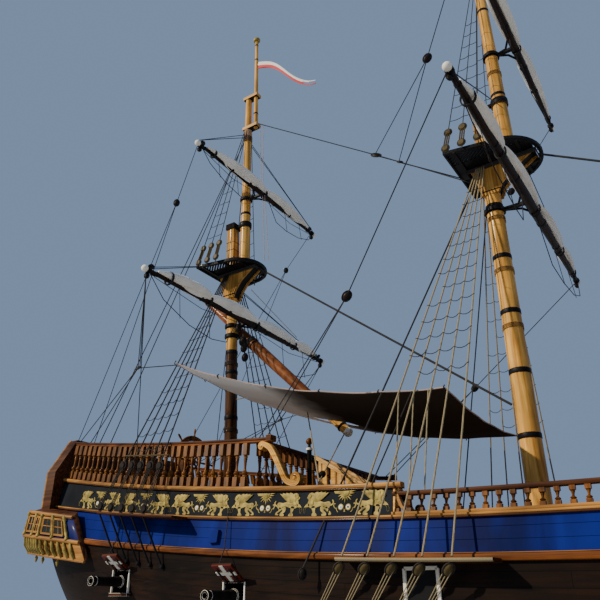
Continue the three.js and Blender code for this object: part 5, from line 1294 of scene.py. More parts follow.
# Each yard's mast, the part of it that the yard hangs on, the yard's x and z, half its length and its radius
YARDS = {
    "crossjack": ("mizzen", "lower", -8.49, 9.11, 3.985, 0.095),
    "mizzen_topsail": ("mizzen", "topmast", -8.13, 13.39, 2.95, 0.08),
    "main": ("main", "lower", -0.4, 10.2, 4.9, 0.115),
    "main_topsail": ("main", "topmast", -0.06, 14.8, 3.7, 0.095),
    "fore": ("fore", "lower", 9.8, 9.7, 4.5, 0.105),
    "fore_topsail": ("fore", "topmast", 10.16, 14.0, 3.4, 0.09),
}
TRUSS_BAND = 0.012
LATEEN_LOW, LATEEN_HIGH, SLING_Z = Vector((-5.53, 0.35, 5.64)), Vector((-10.83, 0.35, 10.79)), 8.8


def axis_at(axis, z):
    """The middle of a spar at a height."""
    (x0, z0), (x1, z1) = axis
    return Vector((x0 + (x1 - x0) * (z - z0) / (z1 - z0), 0, z))


def lower_axis(mast):
    return mast["foot"], mast["head"]


def radius_at(axis, radii, z):
    """Radius of a tapered spar at a height."""
    return radii[0] + (radii[1] - radii[0]) * (z - axis[0][1]) / (axis[1][1] - axis[0][1])


def mast_ring(axis, r, z, sides, shift=0.0):
    """A level ring round a mast's axis."""
    x = axis_at(axis, z).x
    return [(x + r * math.cos(a), r * math.sin(a), z) for a in angles(sides, shift)]


def square_ring(axis, radii, z, extra=0.0):
    """The corners of a squared masthead."""
    x, r = axis_at(axis, z).x, radius_at(axis, radii, z) * 0.97 + extra
    return [(x + i * r, j * r, z) for i, j in SQUARE]


def spar(shape, axis, radii, stops, sides=20):
    """A tapered mast whose material changes at the given heights: stops is (material, from, to)."""
    for mat, z0, z1 in stops:
        count = max(1, round((z1 - z0) / 0.9))
        heights = [z0 + (z1 - z0) * k / count for k in range(count + 1)]
        shape.loft([mast_ring(axis, radius_at(axis, radii, z), z, sides, 0.5) for z in heights], mat)


def hoop(shape, axis, radii, z, proud, half, mat=IRON, sides=20):
    """A band round a mast with softened edges."""
    edges = ((-half, proud * 0.4), (-half * 0.8, proud), (half * 0.8, proud), (half, proud * 0.4))
    r = radius_at(axis, radii, z)
    shape.loft([mast_ring(axis, r + extra, z + d, sides) for d, extra in edges], mat)


def yard_hoops(shape, name, part, axis, radii):
    """The bands that the trusses of this mast's yards turn on."""
    for mast_name, on, _, z, _, _ in YARDS.values():
        if (mast_name, on) == (name, part):
            hoop(shape, axis, radii, z, TRUSS_BAND, 0.075)


def woolding(shape, axis, radii, z, turns, rope_r=0.014, mat=TARRED):
    """Rope turns round a mast."""
    points = []
    for k in range(turns * 12 + 1):
        a = 2 * math.pi * k / 12
        at = z + 2 * rope_r * (k / 12 - turns / 2)
        centre, r = axis_at(axis, at), radius_at(axis, radii, at) + rope_r * 0.8
        points.append((centre.x + r * math.cos(a), r * math.sin(a), at))
    shape.tube(points, rope_r, mat, 6)


DECK_AT = {"mizzen": quarterdeck_line(-8.86), "main": WAIST_DECK, "fore": frieze_foot(9.0)}
CAP_EDGE = ((0.001, -0.16), (0.033, -0.16), (0.04, -0.15), (0.04, 0.01), (0.033, 0.02), (0.001, 0.02))
TRUCK = [(0, 0.05), (0.08, 0.105), (0.25, 0.12), (0.55, 0.12), (0.75, 0.09), (0.92, 0.05), (1, 0.01)]
RIM_EDGE = ((0.0, -0.045), (0.0, 0.035), (0.015, 0.05), (0.07, 0.05), (0.085, 0.035), (0.085, -0.045),
            (0.07, -0.06), (0.015, -0.06))
CAP_HALF, MASTHEAD = 0.165, 0.175
for name, mast in MASTS.items():
    axis, radii = lower_axis(mast), mast["radii"]
    lower = Shape()
    deck_z = DECK_AT[name] + 0.0005
    if name == "mizzen":
        spar(lower, axis, radii, [(BROWN_Z, deck_z, 8.3), (YELLOW, 8.3, mast["head"][1])])
        band_heights = (7.7, 8.3, 6.4)
    else:
        spar(lower, axis, radii, [(YELLOW, deck_z, mast["head"][1])])
        band_heights = [mast["top"] - 1.2 - 1.35 * k for k in range(5)]
    for z in band_heights:
        hoop(lower, axis, radii, z, 0.012, 0.06)
    for z in band_heights[:3]:
        woolding(lower, axis, radii, z - 0.35, 4)
    # Wedged coat where the mast meets the deck
    coat_x, r = axis_at(axis, deck_z).x, radii[0]
    lower.lathe((coat_x, 0, deck_z), (coat_x, 0, deck_z + 0.16),
                [(0, r + 0.075), (0.5, r + 0.07), (0.75, r + 0.05), (1, r + 0.005)], BROWN, 20)
    yard_hoops(lower, name, "lower", axis, radii)
    if name == "mizzen":
        hoop(lower, axis, radii, SLING_Z, TRUSS_BAND, 0.075)
    # Squared masthead with thin lashings, and the cap that holds the topmast beside it
    head_x, head_z = mast["head"]
    lower.loft([square_ring(axis, radii, z) for z in (mast["top"] + 0.055, head_z - 0.08)], HEADWOOD)
    for k in range(3):
        lower.tube(square_ring(axis, radii, mast["top"] + 0.5 + 0.28 * k, 0.008), 0.008, TARRED, 5,
                   closed=True)
    cap_low, cap_high = (head_x - CAP_HALF, -CAP_HALF, head_z - 0.08), (head_x + CAP_HALF, CAP_HALF,
                                                                        head_z + 0.11)
    lower.box(cap_low, cap_high, CAP_BLACK)
    ring_x = axis_at(mast["topmast"], head_z).x
    ring_r = radius_at(mast["topmast"], mast["topmast_radii"], head_z)
    lower.box((head_x, -0.06, head_z - 0.06), (ring_x, 0.06, head_z), CAP_BLACK)
    cap_rings = [[(ring_x + (ring_r + out) * math.cos(a), (ring_r + out) * math.sin(a), head_z + up)
                  for out, up in CAP_EDGE] for a in angles(20)]
    lower.loft(cap_rings + [cap_rings[0]], BLACK, caps=False)
    lower.make(name + "_mast_turned", slot="mast_wood", replaces=[name + "_lower_mast"], bevel=0.008)

    # Topmast with its hoops, caps, pole and truck
    upper = Shape()
    top_axis, top_radii = mast["topmast"], mast["topmast_radii"]
    z0, z1 = top_axis[0][1], top_axis[1][1]
    spar(upper, top_axis, top_radii, [(YELLOW, z0, z1)])
    # Hounds: the masthead is wrapped with pale rope and dark eyes of the rigging below its lower band
    woolding(upper, top_axis, top_radii, mast["bands"][0] - 0.28, 12, 0.015, PALE_ROPE)
    for k in range(4):
        z = mast["bands"][0] - 0.52 + 0.05 * k
        hoop(upper, top_axis, top_radii, z, 0.03, 0.03, TARRED)
    for z in (z0 + 1.9, z0 + 3.3, z0 + 4.9):
        hoop(upper, top_axis, top_radii, z, 0.009, 0.045)
    woolding(upper, top_axis, top_radii, z0 + 2.6, 5, 0.012)
    yard_hoops(upper, name, "topmast", top_axis, top_radii)
    pole_axis, pole_radii = mast["pole"], (mast["pole_radius"], mast["pole_radius"] * 0.7)
    pole_foot, (tip_x, tip_z) = pole_axis[0][1], pole_axis[1]
    spar(upper, pole_axis, pole_radii, [(YELLOW, pole_foot, tip_z)], 14)
    for z in mast["bands"]:
        back, front = axis_at(top_axis, z).x, axis_at(pole_axis, z).x
        upper.box((back - 0.15, -0.125, z - 0.055), (front + 0.12, 0.125, z + 0.055), YELLOW_X)
        upper.box((back - 0.145, -0.12, z - 0.06), (front + 0.115, 0.12, z - 0.053), IRON)
    for z in (pole_foot + 0.6, tip_z - 0.9, tip_z - 0.2):
        hoop(upper, pole_axis, pole_radii, z, 0.008, 0.03, IRON, 14)
    upper.lathe((tip_x, 0, tip_z), (tip_x, 0, tip_z + 0.195), TRUCK, GOLD, 16)
    upper.make(name + "_topmast_turned", slot="mast_wood", replaces=[name + "_topmast"], bevel=0.006)

    # Top: a dark floor with diagonal slats along both sides, in a rim with a straight aft edge
    platform = Shape()
    centre = axis_at(axis, mast["top"])
    half, top_z = mast["half"], mast["top"]
    front_x, front_r = centre.x + half * 0.3, half * 0.82
    aft_x, aft_half = centre.x - half * 0.63, half * 0.97
    rim = [(aft_x, -aft_half)]
    rim += [(aft_x + (front_x - aft_x) * k / 3, -aft_half + (aft_half - front_r) * k / 3) for k in (1, 2)]
    rim += arc(front_x, 0, front_r, -90, 90, 20)
    rim += [(x, -y) for x, y in rim[2::-1]]
    middle = Vector((centre.x + half * 0.15, 0))
    sections = []
    for corner in rim:
        inward = (middle - Vector(corner)).normalized()
        sections.append([(*(Vector(corner) + inward * depth), top_z + z) for depth, z in RIM_EDGE])
    platform.loft(sections + [sections[0]], BLACK, caps=False)

    def in_top(x, y):
        """Whether a place lies on the top's floor."""
        if x < front_x:
            return x > aft_x and abs(y) < aft_half + (front_r - aft_half) * (x - aft_x) / (front_x - aft_x)
        return (x - front_x) ** 2 + y * y < front_r ** 2

    # Solid boards in the middle, slats outside them, and beams across below
    inner = half * 0.46
    floor_end = front_x + math.sqrt(front_r ** 2 - inner ** 2)
    boards = [(aft_x + 0.02, -inner, floor_end, -MASTHEAD), (aft_x + 0.02, MASTHEAD, floor_end, inner),
              (aft_x + 0.02, -MASTHEAD, centre.x - MASTHEAD, MASTHEAD),
              (mast["topmast"][0][0] + 0.2, -MASTHEAD, floor_end, MASTHEAD)]
    for x0, y0, x1, y1 in boards:
        platform.box((x0, y0, top_z - 0.03), (x1, y1, top_z + 0.03), BLACK)

    def slat_place(start, s, t):
        """A place on a slat, which runs outward from the boards: aft to port and forward to starboard."""
        return start - s * 0.73 * t, s * (inner + 0.68 * t)

    for s in BOTH:
        start = aft_x - half
        while start < front_x + front_r:
            inside = [k / 100 for k in range(110) if in_top(*slat_place(start, s, k / 100))]
            if inside:
                a, b = ((*slat_place(start, s, t), top_z) for t in (inside[0], inside[-1]))
                platform.beam(a, b, 0.047, 0.05, BLACK)
            start += 0.105
    for x in (centre.x - 0.42 * half, centre.x + 0.3 * half, centre.x + 0.75 * half):
        reach = aft_half if x < front_x else math.sqrt(front_r ** 2 - (x - front_x) ** 2)
        platform.beam((x, -reach * 0.96, top_z - 0.045), (x, reach * 0.96, top_z - 0.045), 0.07, 0.05, BLACK)
    # Cheeks: two yellow boards that reach forward under the floor, with a black block between them that is
    # painted shade
    low_z = top_z - 0.9
    foot_x = axis_at(axis, low_z).x
    for s in BOTH:
        outline = [(foot_x - 0.18 * half, low_z), (foot_x + 0.18 * half, low_z),
                   (foot_x + 0.26 * half, low_z + 0.22), (centre.x + 0.52 * half, top_z - 0.40),
                   (centre.x + half, top_z - 0.052), (centre.x - 0.37 * half, top_z - 0.052),
                   (centre.x - 0.24 * half, top_z - 0.5)]
        platform.loft([[(x, s * y, z) for x, z in outline] for y in (0.125, 0.193)], HEADWOOD)
    # Black block between the cheeks: painted shade
    between = [(foot_x + 0.15 * half, low_z + 0.03), (foot_x + 0.22 * half, low_z + 0.24),
               (centre.x + 0.46 * half, top_z - 0.40), (centre.x + 0.92 * half, top_z - 0.06),
               (centre.x - 0.33 * half, top_z - 0.06), (centre.x - 0.2 * half, top_z - 0.5),
               (foot_x - 0.15 * half, low_z + 0.03)]
    platform.loft([[(x, y, z) for x, z in between] for y in (-0.126, 0.126)], BLACK)
    hoop_z, x0, x1 = top_z - 0.80, foot_x - 0.20 * half - 0.01, foot_x + 0.22 * half
    platform.tube([(x0, -0.2, hoop_z), (x1, -0.2, hoop_z), (x1, 0.2, hoop_z), (x0, 0.2, hoop_z)], 0.014, IRON,
                  6, closed=True)
    platform.make(name + "_top_slatted", slot="black_iron", replaces=[name + "_top"], bevel=0.004)


# Bowsprit with its jib boom, gammoning and cap
sprit = Shape()
SPRIT = (Vector((11.0, 0, 3.7)), Vector((18.3, 0, 7.45)))
JIB = (Vector((16.0, 0, 6.5)), Vector((21.3, 0, 9.15)))


def along(ends, t):
    return ends[0].lerp(ends[1], t)


sprit.lathe(along(SPRIT, 0.02), SPRIT[1],
            [(0, 0.218), (0.3, 0.205), (0.6, 0.175), (0.985, 0.132), (1, 0.12)], YELLOW, 20)
sprit.lathe(JIB[0], JIB[1],
            [(0, 0.108), (0.35, 0.096), (0.75, 0.078), (0.97, 0.062), (0.985, 0.07), (1, 0.05)], YELLOW, 14)
for t in (0.25, 0.36, 0.47, 0.62, 0.78, 0.97):
    sprit.band(along(SPRIT, t - 0.006), along(SPRIT, t + 0.006), 0.22 - 0.09 * t, IRON, 20, 0.15)
cap_at = along(SPRIT, 0.97)
sprit.beam(cap_at + Vector((-0.09, 0, -0.2)), cap_at + Vector((-0.27, 0, 0.36)), 0.36, 0.14, BLACK,
           (1, 0, 0.4))
for k in range(7):
    at = along(SPRIT, 0.355 + k * 0.0055)
    ring = [at + Vector((0.02 * math.sin(a), y, z)) for a, (y, z) in zip(angles(14), disc(0, 0, 0.215))]
    sprit.tube(ring, 0.018, TARRED, 6, closed=True)
sprit.make("bowsprit_turned", slot="mast_wood", replaces=["bowsprit"], bevel=0.006)


def block(shape, at, way, size, mat=DARK_BLOCK):
    """A pulley block: an oval shell along way, with its strop."""
    at, way = Vector(at), Vector(way).normalized()
    across = way.orthogonal().normalized()
    other = way.cross(across)
    profile = [(-1, 0.25), (-0.75, 0.6), (-0.3, 0.86), (0.3, 0.86), (0.75, 0.6), (1, 0.25)]
    shape.loft([[at + way * t * size
                 + (across * math.cos(a) * w + other * math.sin(a) * w * 0.55) * size * 0.8
                 for a in angles(10)] for t, w in profile], mat)
    strop = [at + (way * math.cos(a) * 1.12 + across * math.sin(a) * 0.82) * size for a in angles(14)]
    shape.tube(strop, size * 0.13, TARRED, 5, closed=True)


# Yards with their trusses, tip balls and bands, and the sails furled on them
def white_ball(shape, centre, radius):
    """A ball at the end of a spar; its poles point to port and starboard."""
    centre, out = Vector(centre), Vector((0, radius, 0))
    profile = [((1 - math.cos(a)) / 2, radius * math.sin(a))
               for a in [math.pi * (k + 0.12) / 8.24 for k in range(9)]]
    shape.lathe(centre - out, centre + out, profile, WHITE, 14)


def yard_radius(half, radius, y):
    return radius * (1 - 0.5 * abs(y) / half)


GAP, WALL, COLLAR_HALF = 0.0003, 0.035, 0.045


def truss(shape, axis, radii, z):
    """An iron collar that turns on a mast's band; gives its bore."""
    x, bore = axis_at(axis, z).x, (radius_at(axis, radii, z) + TRUSS_BAND + GAP) / math.cos(math.pi / 12)
    edge = ((bore, -COLLAR_HALF), (bore + WALL, -COLLAR_HALF), (bore + WALL, COLLAR_HALF),
            (bore, COLLAR_HALF))
    rings = [[(x + r * math.cos(a), r * math.sin(a), z + d) for r, d in edge] for a in angles(24, 0.5)]
    shape.loft(rings + [rings[0]], IRON, caps=False)
    return bore


for name, (mast_name, on, x, z, half, radius) in YARDS.items():
    mast = MASTS[mast_name]
    axis, radii = (lower_axis(mast), mast["radii"]) if on == "lower" else (mast["topmast"],
                                                                           mast["topmast_radii"])
    yard = Shape()
    for s in BOTH:
        rings = []
        for y in [half * k / 10 * s for k in range(11)]:
            r = yard_radius(half, radius, y)
            rings.append([(x + r * math.cos(a), y, z + r * math.sin(a)) for a in angles(14)])
        yard.loft(rings, YARD)
        white_ball(yard, (x, s * half, z), 0.088)
        for share, long in ((0.965, 0.05), (0.9, 0.03), (0.5, 0.04), (0.22, 0.05)):
            y = s * half * share
            yard.band((x, y - long, z), (x, y + long, z), yard_radius(half, radius, y), IRON)
        # Cleat under the arm
        y = s * half * 0.93
        under = z - yard_radius(half, radius, y)
        yard.box((x - 0.02, y - 0.07, under - 0.03), (x + 0.02, y + 0.07, under + 0.005), IRON)
    centre = axis_at(axis, z)
    bore = truss(yard, axis, radii, z)
    yard.box((centre.x + bore + 0.015, -0.045, z - 0.04), (x, 0.045, z + 0.04), IRON)
    for s in BOTH:
        yard.tube([(centre.x + bore + 0.02, s * 0.04, z), (x - 0.2, s * 0.12, z - 0.04),
                   (x - radius * 0.5, s * 0.42, z - 0.02)], 0.028, IRON, 8)
        # Black band and block at the tip, and the foot rope on its stirrup
        y = s * half
        yard.band((x, y - s * 0.16, z), (x, y - s * 0.055, z), 0.07, IRON, 14, 0.1, 0.015)
        block(yard, (x - 0.02, y - s * 0.2, z + 0.13), (0, 1, 0.2), 0.085)
        block(yard, (x - 0.02, y - s * 0.1, z - 0.15), (0, 0.2, 1), 0.075)
        low = 1.0 * half / 3.985
        yard.tube([(x + 0.03, y - s * 0.12, z - 0.06), (x + 0.1, y * 0.85, z - low * 0.62),
                   (x + 0.12, y * 0.62, z - low * 0.97), (x + 0.1, y * 0.4, z - low * 1.05),
                   (x + 0.05, y * 0.24, z - low * 0.92), (x, y * 0.12, z - 0.08)],
                  0.011, TARRED, 6)
        for share, deep in ((0.7, 0.9), (0.42, 1.06)):
            yard.tube([(x, y * share, z - 0.05), (x + 0.1, y * share, z - low * deep)], 0.009, TARRED, 5)
        # Second line under the yard
        yard.tube([(x, y * 0.92, z - 0.1), (x + 0.04, y * 0.5, z - 0.32), (x, y * 0.1, z - 0.14)], 0.009,
                  TARRED, 5)
    yard.make(name + "_yard_turned", name, "mast_wood", [name + "_yard"], 0.003)


# Furled sails: canvas gathered on top of the yard in full lobes between its gaskets. A lobe is its start,
# its fullest place and its end, as shares of the half yard from starboard to port, and its fullness
LOWER_LOBES = [(-0.90, -0.60, -0.425, 1.0), (-0.425, -0.15, 0.09, 1.0), (0.09, 0.33, 0.57, 0.97),
               (0.57, 0.68, 0.9, 0.8)]
UPPER_LOBES = [(-0.88, -0.28, 0.03, 1.0), (0.03, 0.30, 0.9, 0.95)]
LOBE_R, NECK_R, END_R, SAIL_STEPS = 0.205, 0.095, 0.035, 110


def furl_radius(lobes, share):
    """Radius of the bundle at a share of the half yard."""
    for start, full, end, size in lobes:
        if start <= share <= end:
            t = (share - start) / (full - start) if share < full else (end - share) / (end - full)
            open_end = start == lobes[0][0] and share < full or end == lobes[-1][2] and share > full
            neck = END_R if open_end else NECK_R
            return neck + (LOBE_R * size - neck) * math.sin(math.pi / 2 * min(1, t)) ** (0.9
                                                                                         if open_end else 0.6)
    return END_R


for index, (name, (_, on, x, z, half, radius)) in enumerate(YARDS.items()):
    lobes = LOWER_LOBES if on == "lower" else UPPER_LOBES
    sail = Shape()
    first, last = lobes[0][0], lobes[-1][2]
    rings = []
    for k in range(SAIL_STEPS + 1):
        share = first + (last - first) * k / SAIL_STEPS
        y = share * half
        r = furl_radius(lobes, share)
        spar_r = yard_radius(half, radius, y)
        seed = Vector((0.35 * y + 7 * index, index * 3.1, 0))
        roll = 0.9 * math.sin(1.4 * y + index)
        ring = []
        for a in angles(36):
            fold = noise.noise(Vector((math.cos(a) * 1.2, math.sin(a) * 1.2, 0)) + seed) * 0.22
            fine = noise.noise(Vector((math.cos(a) * 5, math.sin(a) * 5, 5)) + seed * 1.2) * 0.10
            crease = -0.17 * abs(math.sin(a * 1.5 + roll)) ** 14 - 0.10 * abs(math.sin(a * 4 - roll
                                                                                       * 1.4)) ** 18
            rr = r * (1 + fold + fine + crease)
            px, pz = x + 0.03 + rr * math.cos(a), z + spar_r + 0.42 * r + rr * 0.84 * math.sin(a)
            # The bundle lies on the yard: its underside wraps round the spar
            away = Vector((px - x, pz - z))
            if away.length < spar_r + 0.006:
                away = away.normalized() * (spar_r + 0.006)
                px, pz = x + away.x, z + away.y
            ring.append((px, y, pz))
        rings.append(ring)
    sail.loft(rings, SAILCLOTH)
    sail.make(name + "_furled_sail", name, "canvas", [name + "_sail"], angle=75)
    ties = Shape()
    for share in [lobe[2] for lobe in lobes[:-1]] + [first + 0.1, last - 0.03]:
        y, r = share * half, furl_radius(lobes, share)
        spar_r = yard_radius(half, radius, y)
        for shift in (-0.022, 0, 0.022):
            ring = [(x + 0.015 + (max(r, spar_r) + 0.02) * math.cos(a), y + shift + 0.01 * math.sin(a),
                     z + r * 0.45 + (r * 0.8 + spar_r + 0.012) * math.sin(a))
                    for a in angles(18)]
            ties.tube(ring, 0.013, TARRED, 6, closed=True)
    ties.make(name + "_gaskets", name, "tarred_rope")

# Lateen yard: a red spar of two lashed pieces with a golden lower end
lateen = Shape()
LATEEN_WAY = (LATEEN_HIGH - LATEEN_LOW).normalized()


def on_lateen(t):
    return LATEEN_LOW.lerp(LATEEN_HIGH, t)


def lateen_radius(t):
    """Radius of the lateen yard, thickest at its middle."""
    return 0.12 + 0.09 * t if t < 0.5 else 0.165 - 0.16 * (t - 0.5)


LASHING = 0.575
for mat, t0, t1, slim in ((YELLOW, 0.0, 0.13, 0.93), (RED_SPAR, 0.13, 1.0, 1)):
    count = max(2, round((t1 - t0) * 16))
    stops = [t0 + (t1 - t0) * k / count for k in range(count + 1)]
    lateen.lathe(on_lateen(0), on_lateen(1), [(t, lateen_radius(t) * slim) for t in stops], mat, 18)
for t in (0.03, 0.13, 0.56, 0.72, 0.95):
    lateen.band(on_lateen(t - 0.004), on_lateen(t + 0.004), lateen_radius(t), IRON, 18, 0.2)
normal = LATEEN_WAY.orthogonal().normalized()
other = LATEEN_WAY.cross(normal)
for k in range(5):
    ring = ring_at(on_lateen(LASHING + k * 0.004), normal, other, lateen_radius(LASHING) + 0.012, 14)
    lateen.tube(ring, 0.014, TARRED, 6, closed=True)
white_ball(lateen, on_lateen(0), 0.12)
white_ball(lateen, on_lateen(1), 0.083)
crossing = on_lateen((SLING_Z - LATEEN_LOW.z) / (LATEEN_HIGH.z - LATEEN_LOW.z))
mizzen_axis = lower_axis(MASTS["mizzen"])
centre = axis_at(mizzen_axis, SLING_Z)
bore = truss(lateen, mizzen_axis, MASTS["mizzen"]["radii"], SLING_Z)
outward = Vector((crossing.x - centre.x, crossing.y, 0)).normalized()
lateen.lathe(Vector((centre.x, 0, SLING_Z)) + outward * (bore + 0.015), crossing, [(0, 0.04), (1, 0.036)],
             IRON, 10)
lateen.make("lateen_spar", "lateen", "varnished_wood", ["lateen_yard"])

# Awning: a sagging sheet with seams, hemmed edges and scallops between its ties
AWNING_AFT, AWNING_FORE, AWNING_HALF, LASH_Z = -8.5, -2.0, 2.7, 6.905
SLOT_AFT, SLOT_FORE, SLOT_NEAR, SLOT_FAR = -6.4, -5.36, 0.11, 0.59


def awning_point(t, v):
    """A point of the sheet: t runs forward from 0 to 1 and v across from -1 to 1."""
    scallop = 0.035 * abs(math.sin(math.pi * t * 5)) * abs(v) ** 8
    y = AWNING_HALF * v * (1 - 0.15 * t) * (1 - scallop)
    x = AWNING_AFT + (AWNING_FORE - AWNING_AFT) * t
    z = 7.1 - 2.9 * t + 1.3 * t * t - 0.18 * (1 - v * v)
    ripple = 0.018 * noise.noise(Vector((x * 1.1, y * 1.6, 0))) + 0.012 * math.sin(y * 5.2 + 0.4
                                                                                   * x) * (1 - t * 0.4)
    return Vector((x, y, z + ripple - 0.02))


# The opening in the sheet lets the lateen yard through
slot_ends = {(v - AWNING_AFT) / (AWNING_FORE - AWNING_AFT) for v in (SLOT_AFT, SLOT_FORE)}
columns = sorted({k / 60 for k in range(61)} | slot_ends)
rows = [k / 24 for k in range(-24, 25)]
across = len(rows)
cloth = Shape()
faces = []
points = [awning_point(t, v) for t in columns for v in rows]
for i in range(len(columns) - 1):
    for j in range(across - 1):
        near = i * across + j
        middle = (points[near] + points[near + across + 1]) / 2
        if not (SLOT_AFT < middle.x < SLOT_FORE and SLOT_NEAR < middle.y < SLOT_FAR):
            faces.append((near, near + across, near + across + 1, near + 1))
cloth.add(points, faces, AWNING_CLOTH)
# The sheet's other side takes the underside material: painted light aft and painted shade forward
cloth.materials.append(AWNING_PAINTED_UNDERSIDE)
awning = cloth.make("awning_sheet", slot="canvas", replaces=["awning"], angle=80)
solidify = awning.modifiers.new("thickness", "SOLIDIFY")
solidify.thickness = 0.006
solidify.offset = 0
solidify.material_offset = 1
# Bolt rope round the hem, and the lashings at its ties
hem = Shape()
border = ([awning_point(t, -1) for t in columns] + [awning_point(1, v) for v in rows[1:]]
          + [awning_point(t, 1) for t in reversed(columns[:-1])]
          + [awning_point(0, v) for v in reversed(rows[1:-1])])
hem.tube(border, 0.014, PALE_ROPE, 6, closed=True)
for k in range(1, 5):
    seam = [awning_point(k / 5, v) + Vector((0, 0, 0.004)) for v in rows]
    hem.tube(seam, 0.006, AWNING_CLOTH, 4)
mast_at = axis_at(mizzen_axis, LASH_Z)
hem.tube([mast_at + Vector((0.17, 0, 0)), Vector((AWNING_AFT + 0.01, 0, LASH_Z))], 0.014, HEMP, 6)
for v in (-1, -0.6, -0.3, 0.3, 0.6, 1):
    at = awning_point(0, v)
    lashing = [at + Vector((x, 0, z)) for x, z in ((0.015, -0.06), (-0.03, 0), (0.015, 0.06))]
    hem.tube(lashing, 0.012, TARRED, 6)
for t in (0.2, 0.4, 0.6, 0.8, 1):
    for s in BOTH:
        at = awning_point(t, s)
        hem.tube([at + Vector((0, s * y, z)) for y, z in ((-0.03, -0.05), (0.03, 0), (-0.03, 0.05))], 0.012,
                 TARRED, 6)
hem.make("awning_bolt_rope", slot="canvas")

# Pennant: a narrow swallow-tailed flag that curls in the wind
PENNANT_X, PENNANT_Z, PENNANT_LONG, PENNANT_TALL = -8.5, 19.15, 2.42, 0.33


def pennant_top(t):
    """Height of the flag's upper edge at a share of its length."""
    return PENNANT_Z - 2.15 * (PENNANT_LONG * t + 0.02) / 2.48 + 0.2 * math.sin(t * math.pi * 2)


def pennant_tall(t):
    return PENNANT_TALL * (1 - 0.5 * t)


flag = Shape()
count, bands, TAIL = 60, 6, 0.72
points, faces = [], []
for k in range(count + 1):
    t = k / count
    for v in [j / bands for j in range(bands + 1)]:
        curl = 0.06 * math.sin(t * 9) * t + 0.012 * math.sin(12 * v + 14 * t)
        points.append((PENNANT_X + PENNANT_LONG * t, curl, pennant_top(t) - pennant_tall(t) * v))
for k in range(count):
    for j in range(bands):
        # The two tails part along the middle
        middle = abs((j + 0.5) / bands - 0.5)
        if k / count > TAIL and middle * 2 < (k / count - TAIL) / (1 - TAIL) * 0.9:
            continue
        a = k * (bands + 1) + j
        faces.append((a, a + bands + 1, a + bands + 2, a + 1))
flag.add(points, faces, PENNANT_CLOTH)
pennant = flag.make("pennant_flag", slot="pennant_cloth", replaces=["pennant"], angle=80)
layer = pennant.data.uv_layers.new(name="weave")
for loop in pennant.data.loops:
    co = pennant.data.vertices[loop.vertex_index].co
    t = (co.x - PENNANT_X) / PENNANT_LONG
    layer.data[loop.index].uv = (t, (pennant_top(t) - co.z) / pennant_tall(t))
solidify = pennant.modifiers.new("thickness", "SOLIDIFY")
solidify.thickness = 0.003
solidify.offset = 0

# Gun port lids: planked boards, dark red inside, with straps, and a white cross on the inner face
HINGE_OUT, HINGE_UP, HINGE_R, LID_RAISED = 0.045, 0.02, 0.0265, 35
LID_NEAR, LID_FAR, LID_HALF, STRAP_X, CROSS_HALF = 0.03, 0.45, 0.23, 0.15, 0.045
for i, x in enumerate(PORTS):
    for hand, name in HANDS:
        lid = Shape()
        hinge = (x, hand * (half_breadth(x) + HINGE_OUT), wale_line(x) - PORT_TOP + HINGE_UP)
        turn = Matrix.Translation(hinge) @ Matrix.Rotation(math.radians(hand * LID_RAISED), 4, "X")

        def slab(x0, x1, y0, y1, z0, z1, mat):
            """A board of the lid, with y counted outward from the hinge."""
            part = Shape()
            part.box((x0, hand * y0, z0), (x1, hand * y1, z1), mat)
            lid.add([turn @ Vector(v) for v in part.verts], part.faces, mat)

        for k in range(3):
            a = LID_NEAR + k * 0.14
            slab(-LID_HALF, LID_HALF, a, a + 0.137, 0.02, 0.06, BROWN)
            slab(-LID_HALF, LID_HALF, a, a + 0.137, 0.0, 0.021, RED)
        for s in BOTH:
            x0, x1 = s * STRAP_X - 0.03, s * STRAP_X + 0.03
            slab(x0, x1, 0.0, LID_NEAR + 0.34, 0.058, 0.07, IRON)
            slab(x0, x1, 0.0, LID_NEAR + 0.34, -0.014, 0.006, IRON)
            a, b = turn @ Vector((x0, 0, 0)), turn @ Vector((x1, 0, 0))
            lid.lathe(a, b, [(0, HINGE_R), (1, HINGE_R)], IRON, 16)
        slab(-CROSS_HALF, CROSS_HALF, LID_NEAR, LID_FAR, -0.012, 0.002, WHITE)
        middle = (LID_NEAR + LID_FAR) / 2
        slab(-LID_HALF, LID_HALF, middle - CROSS_HALF, middle + CROSS_HALF, -0.013, 0.002, WHITE)
        lid.make(f"port_lid_boards_{name}_{i + 1}", f"lid_{name}_{i + 1}", "red_paint",
                 [f"port_lid_{name}_{i + 1}"], 0.003)


# Standing rigging. The shrouds' channels: their line on the side, its lean and their height above it
SHROUDS = {"mizzen": (frieze_foot, FOOT_LEAN, 0.03), "main": (wale_line, 0, -0.03),
           "fore": (wale_line, 0, -0.03)}
# Where each mast's stay ends (x, z), and how far each mast's channel stands out
STAYS = {"mizzen": (-1.445, 5.6), "main": (8.76, 6.1), "fore": (15.8, 6.41)}
CHANNEL_PROUD = {"mizzen": 0.44, "main": 0.4, "fore": 0.4}
CHEEK_HALF, COLLAR_THICK = 0.195, 0.06


def sagging(a, b, sag):
    """Five points from a to b that hang by sag in the middle."""
    return [a.lerp(b, k / 4) - Vector((0, 0, sag * k * (1 - k / 4))) for k in range(5)]


def deadeye(shape, centre, mat):
    """A round block, flat to the ship's side, with its rope strop."""
    centre, half, r = Vector(centre), Vector((0, 0.038, 0)), 0.085
    shape.lathe(centre - half, centre + half,
                [(0, r * 0.72), (0.2, r * 0.95), (0.4, r), (0.6, r), (0.8, r * 0.95), (1, r * 0.72)], mat, 14)
    strop = ring_at(centre, Vector((1, 0, 0)), Vector((0, 0, 1)), r + 0.012, 14)
    shape.tube(strop, 0.014, TARRED, 6, closed=True)


def shroud_foot(name, x):
    """Breadth and height of a shroud's foot on its channel."""
    curve, lean, rise = SHROUDS[name]
    return side(x, lean) + CHANNEL_PROUD[name], curve(x) + rise


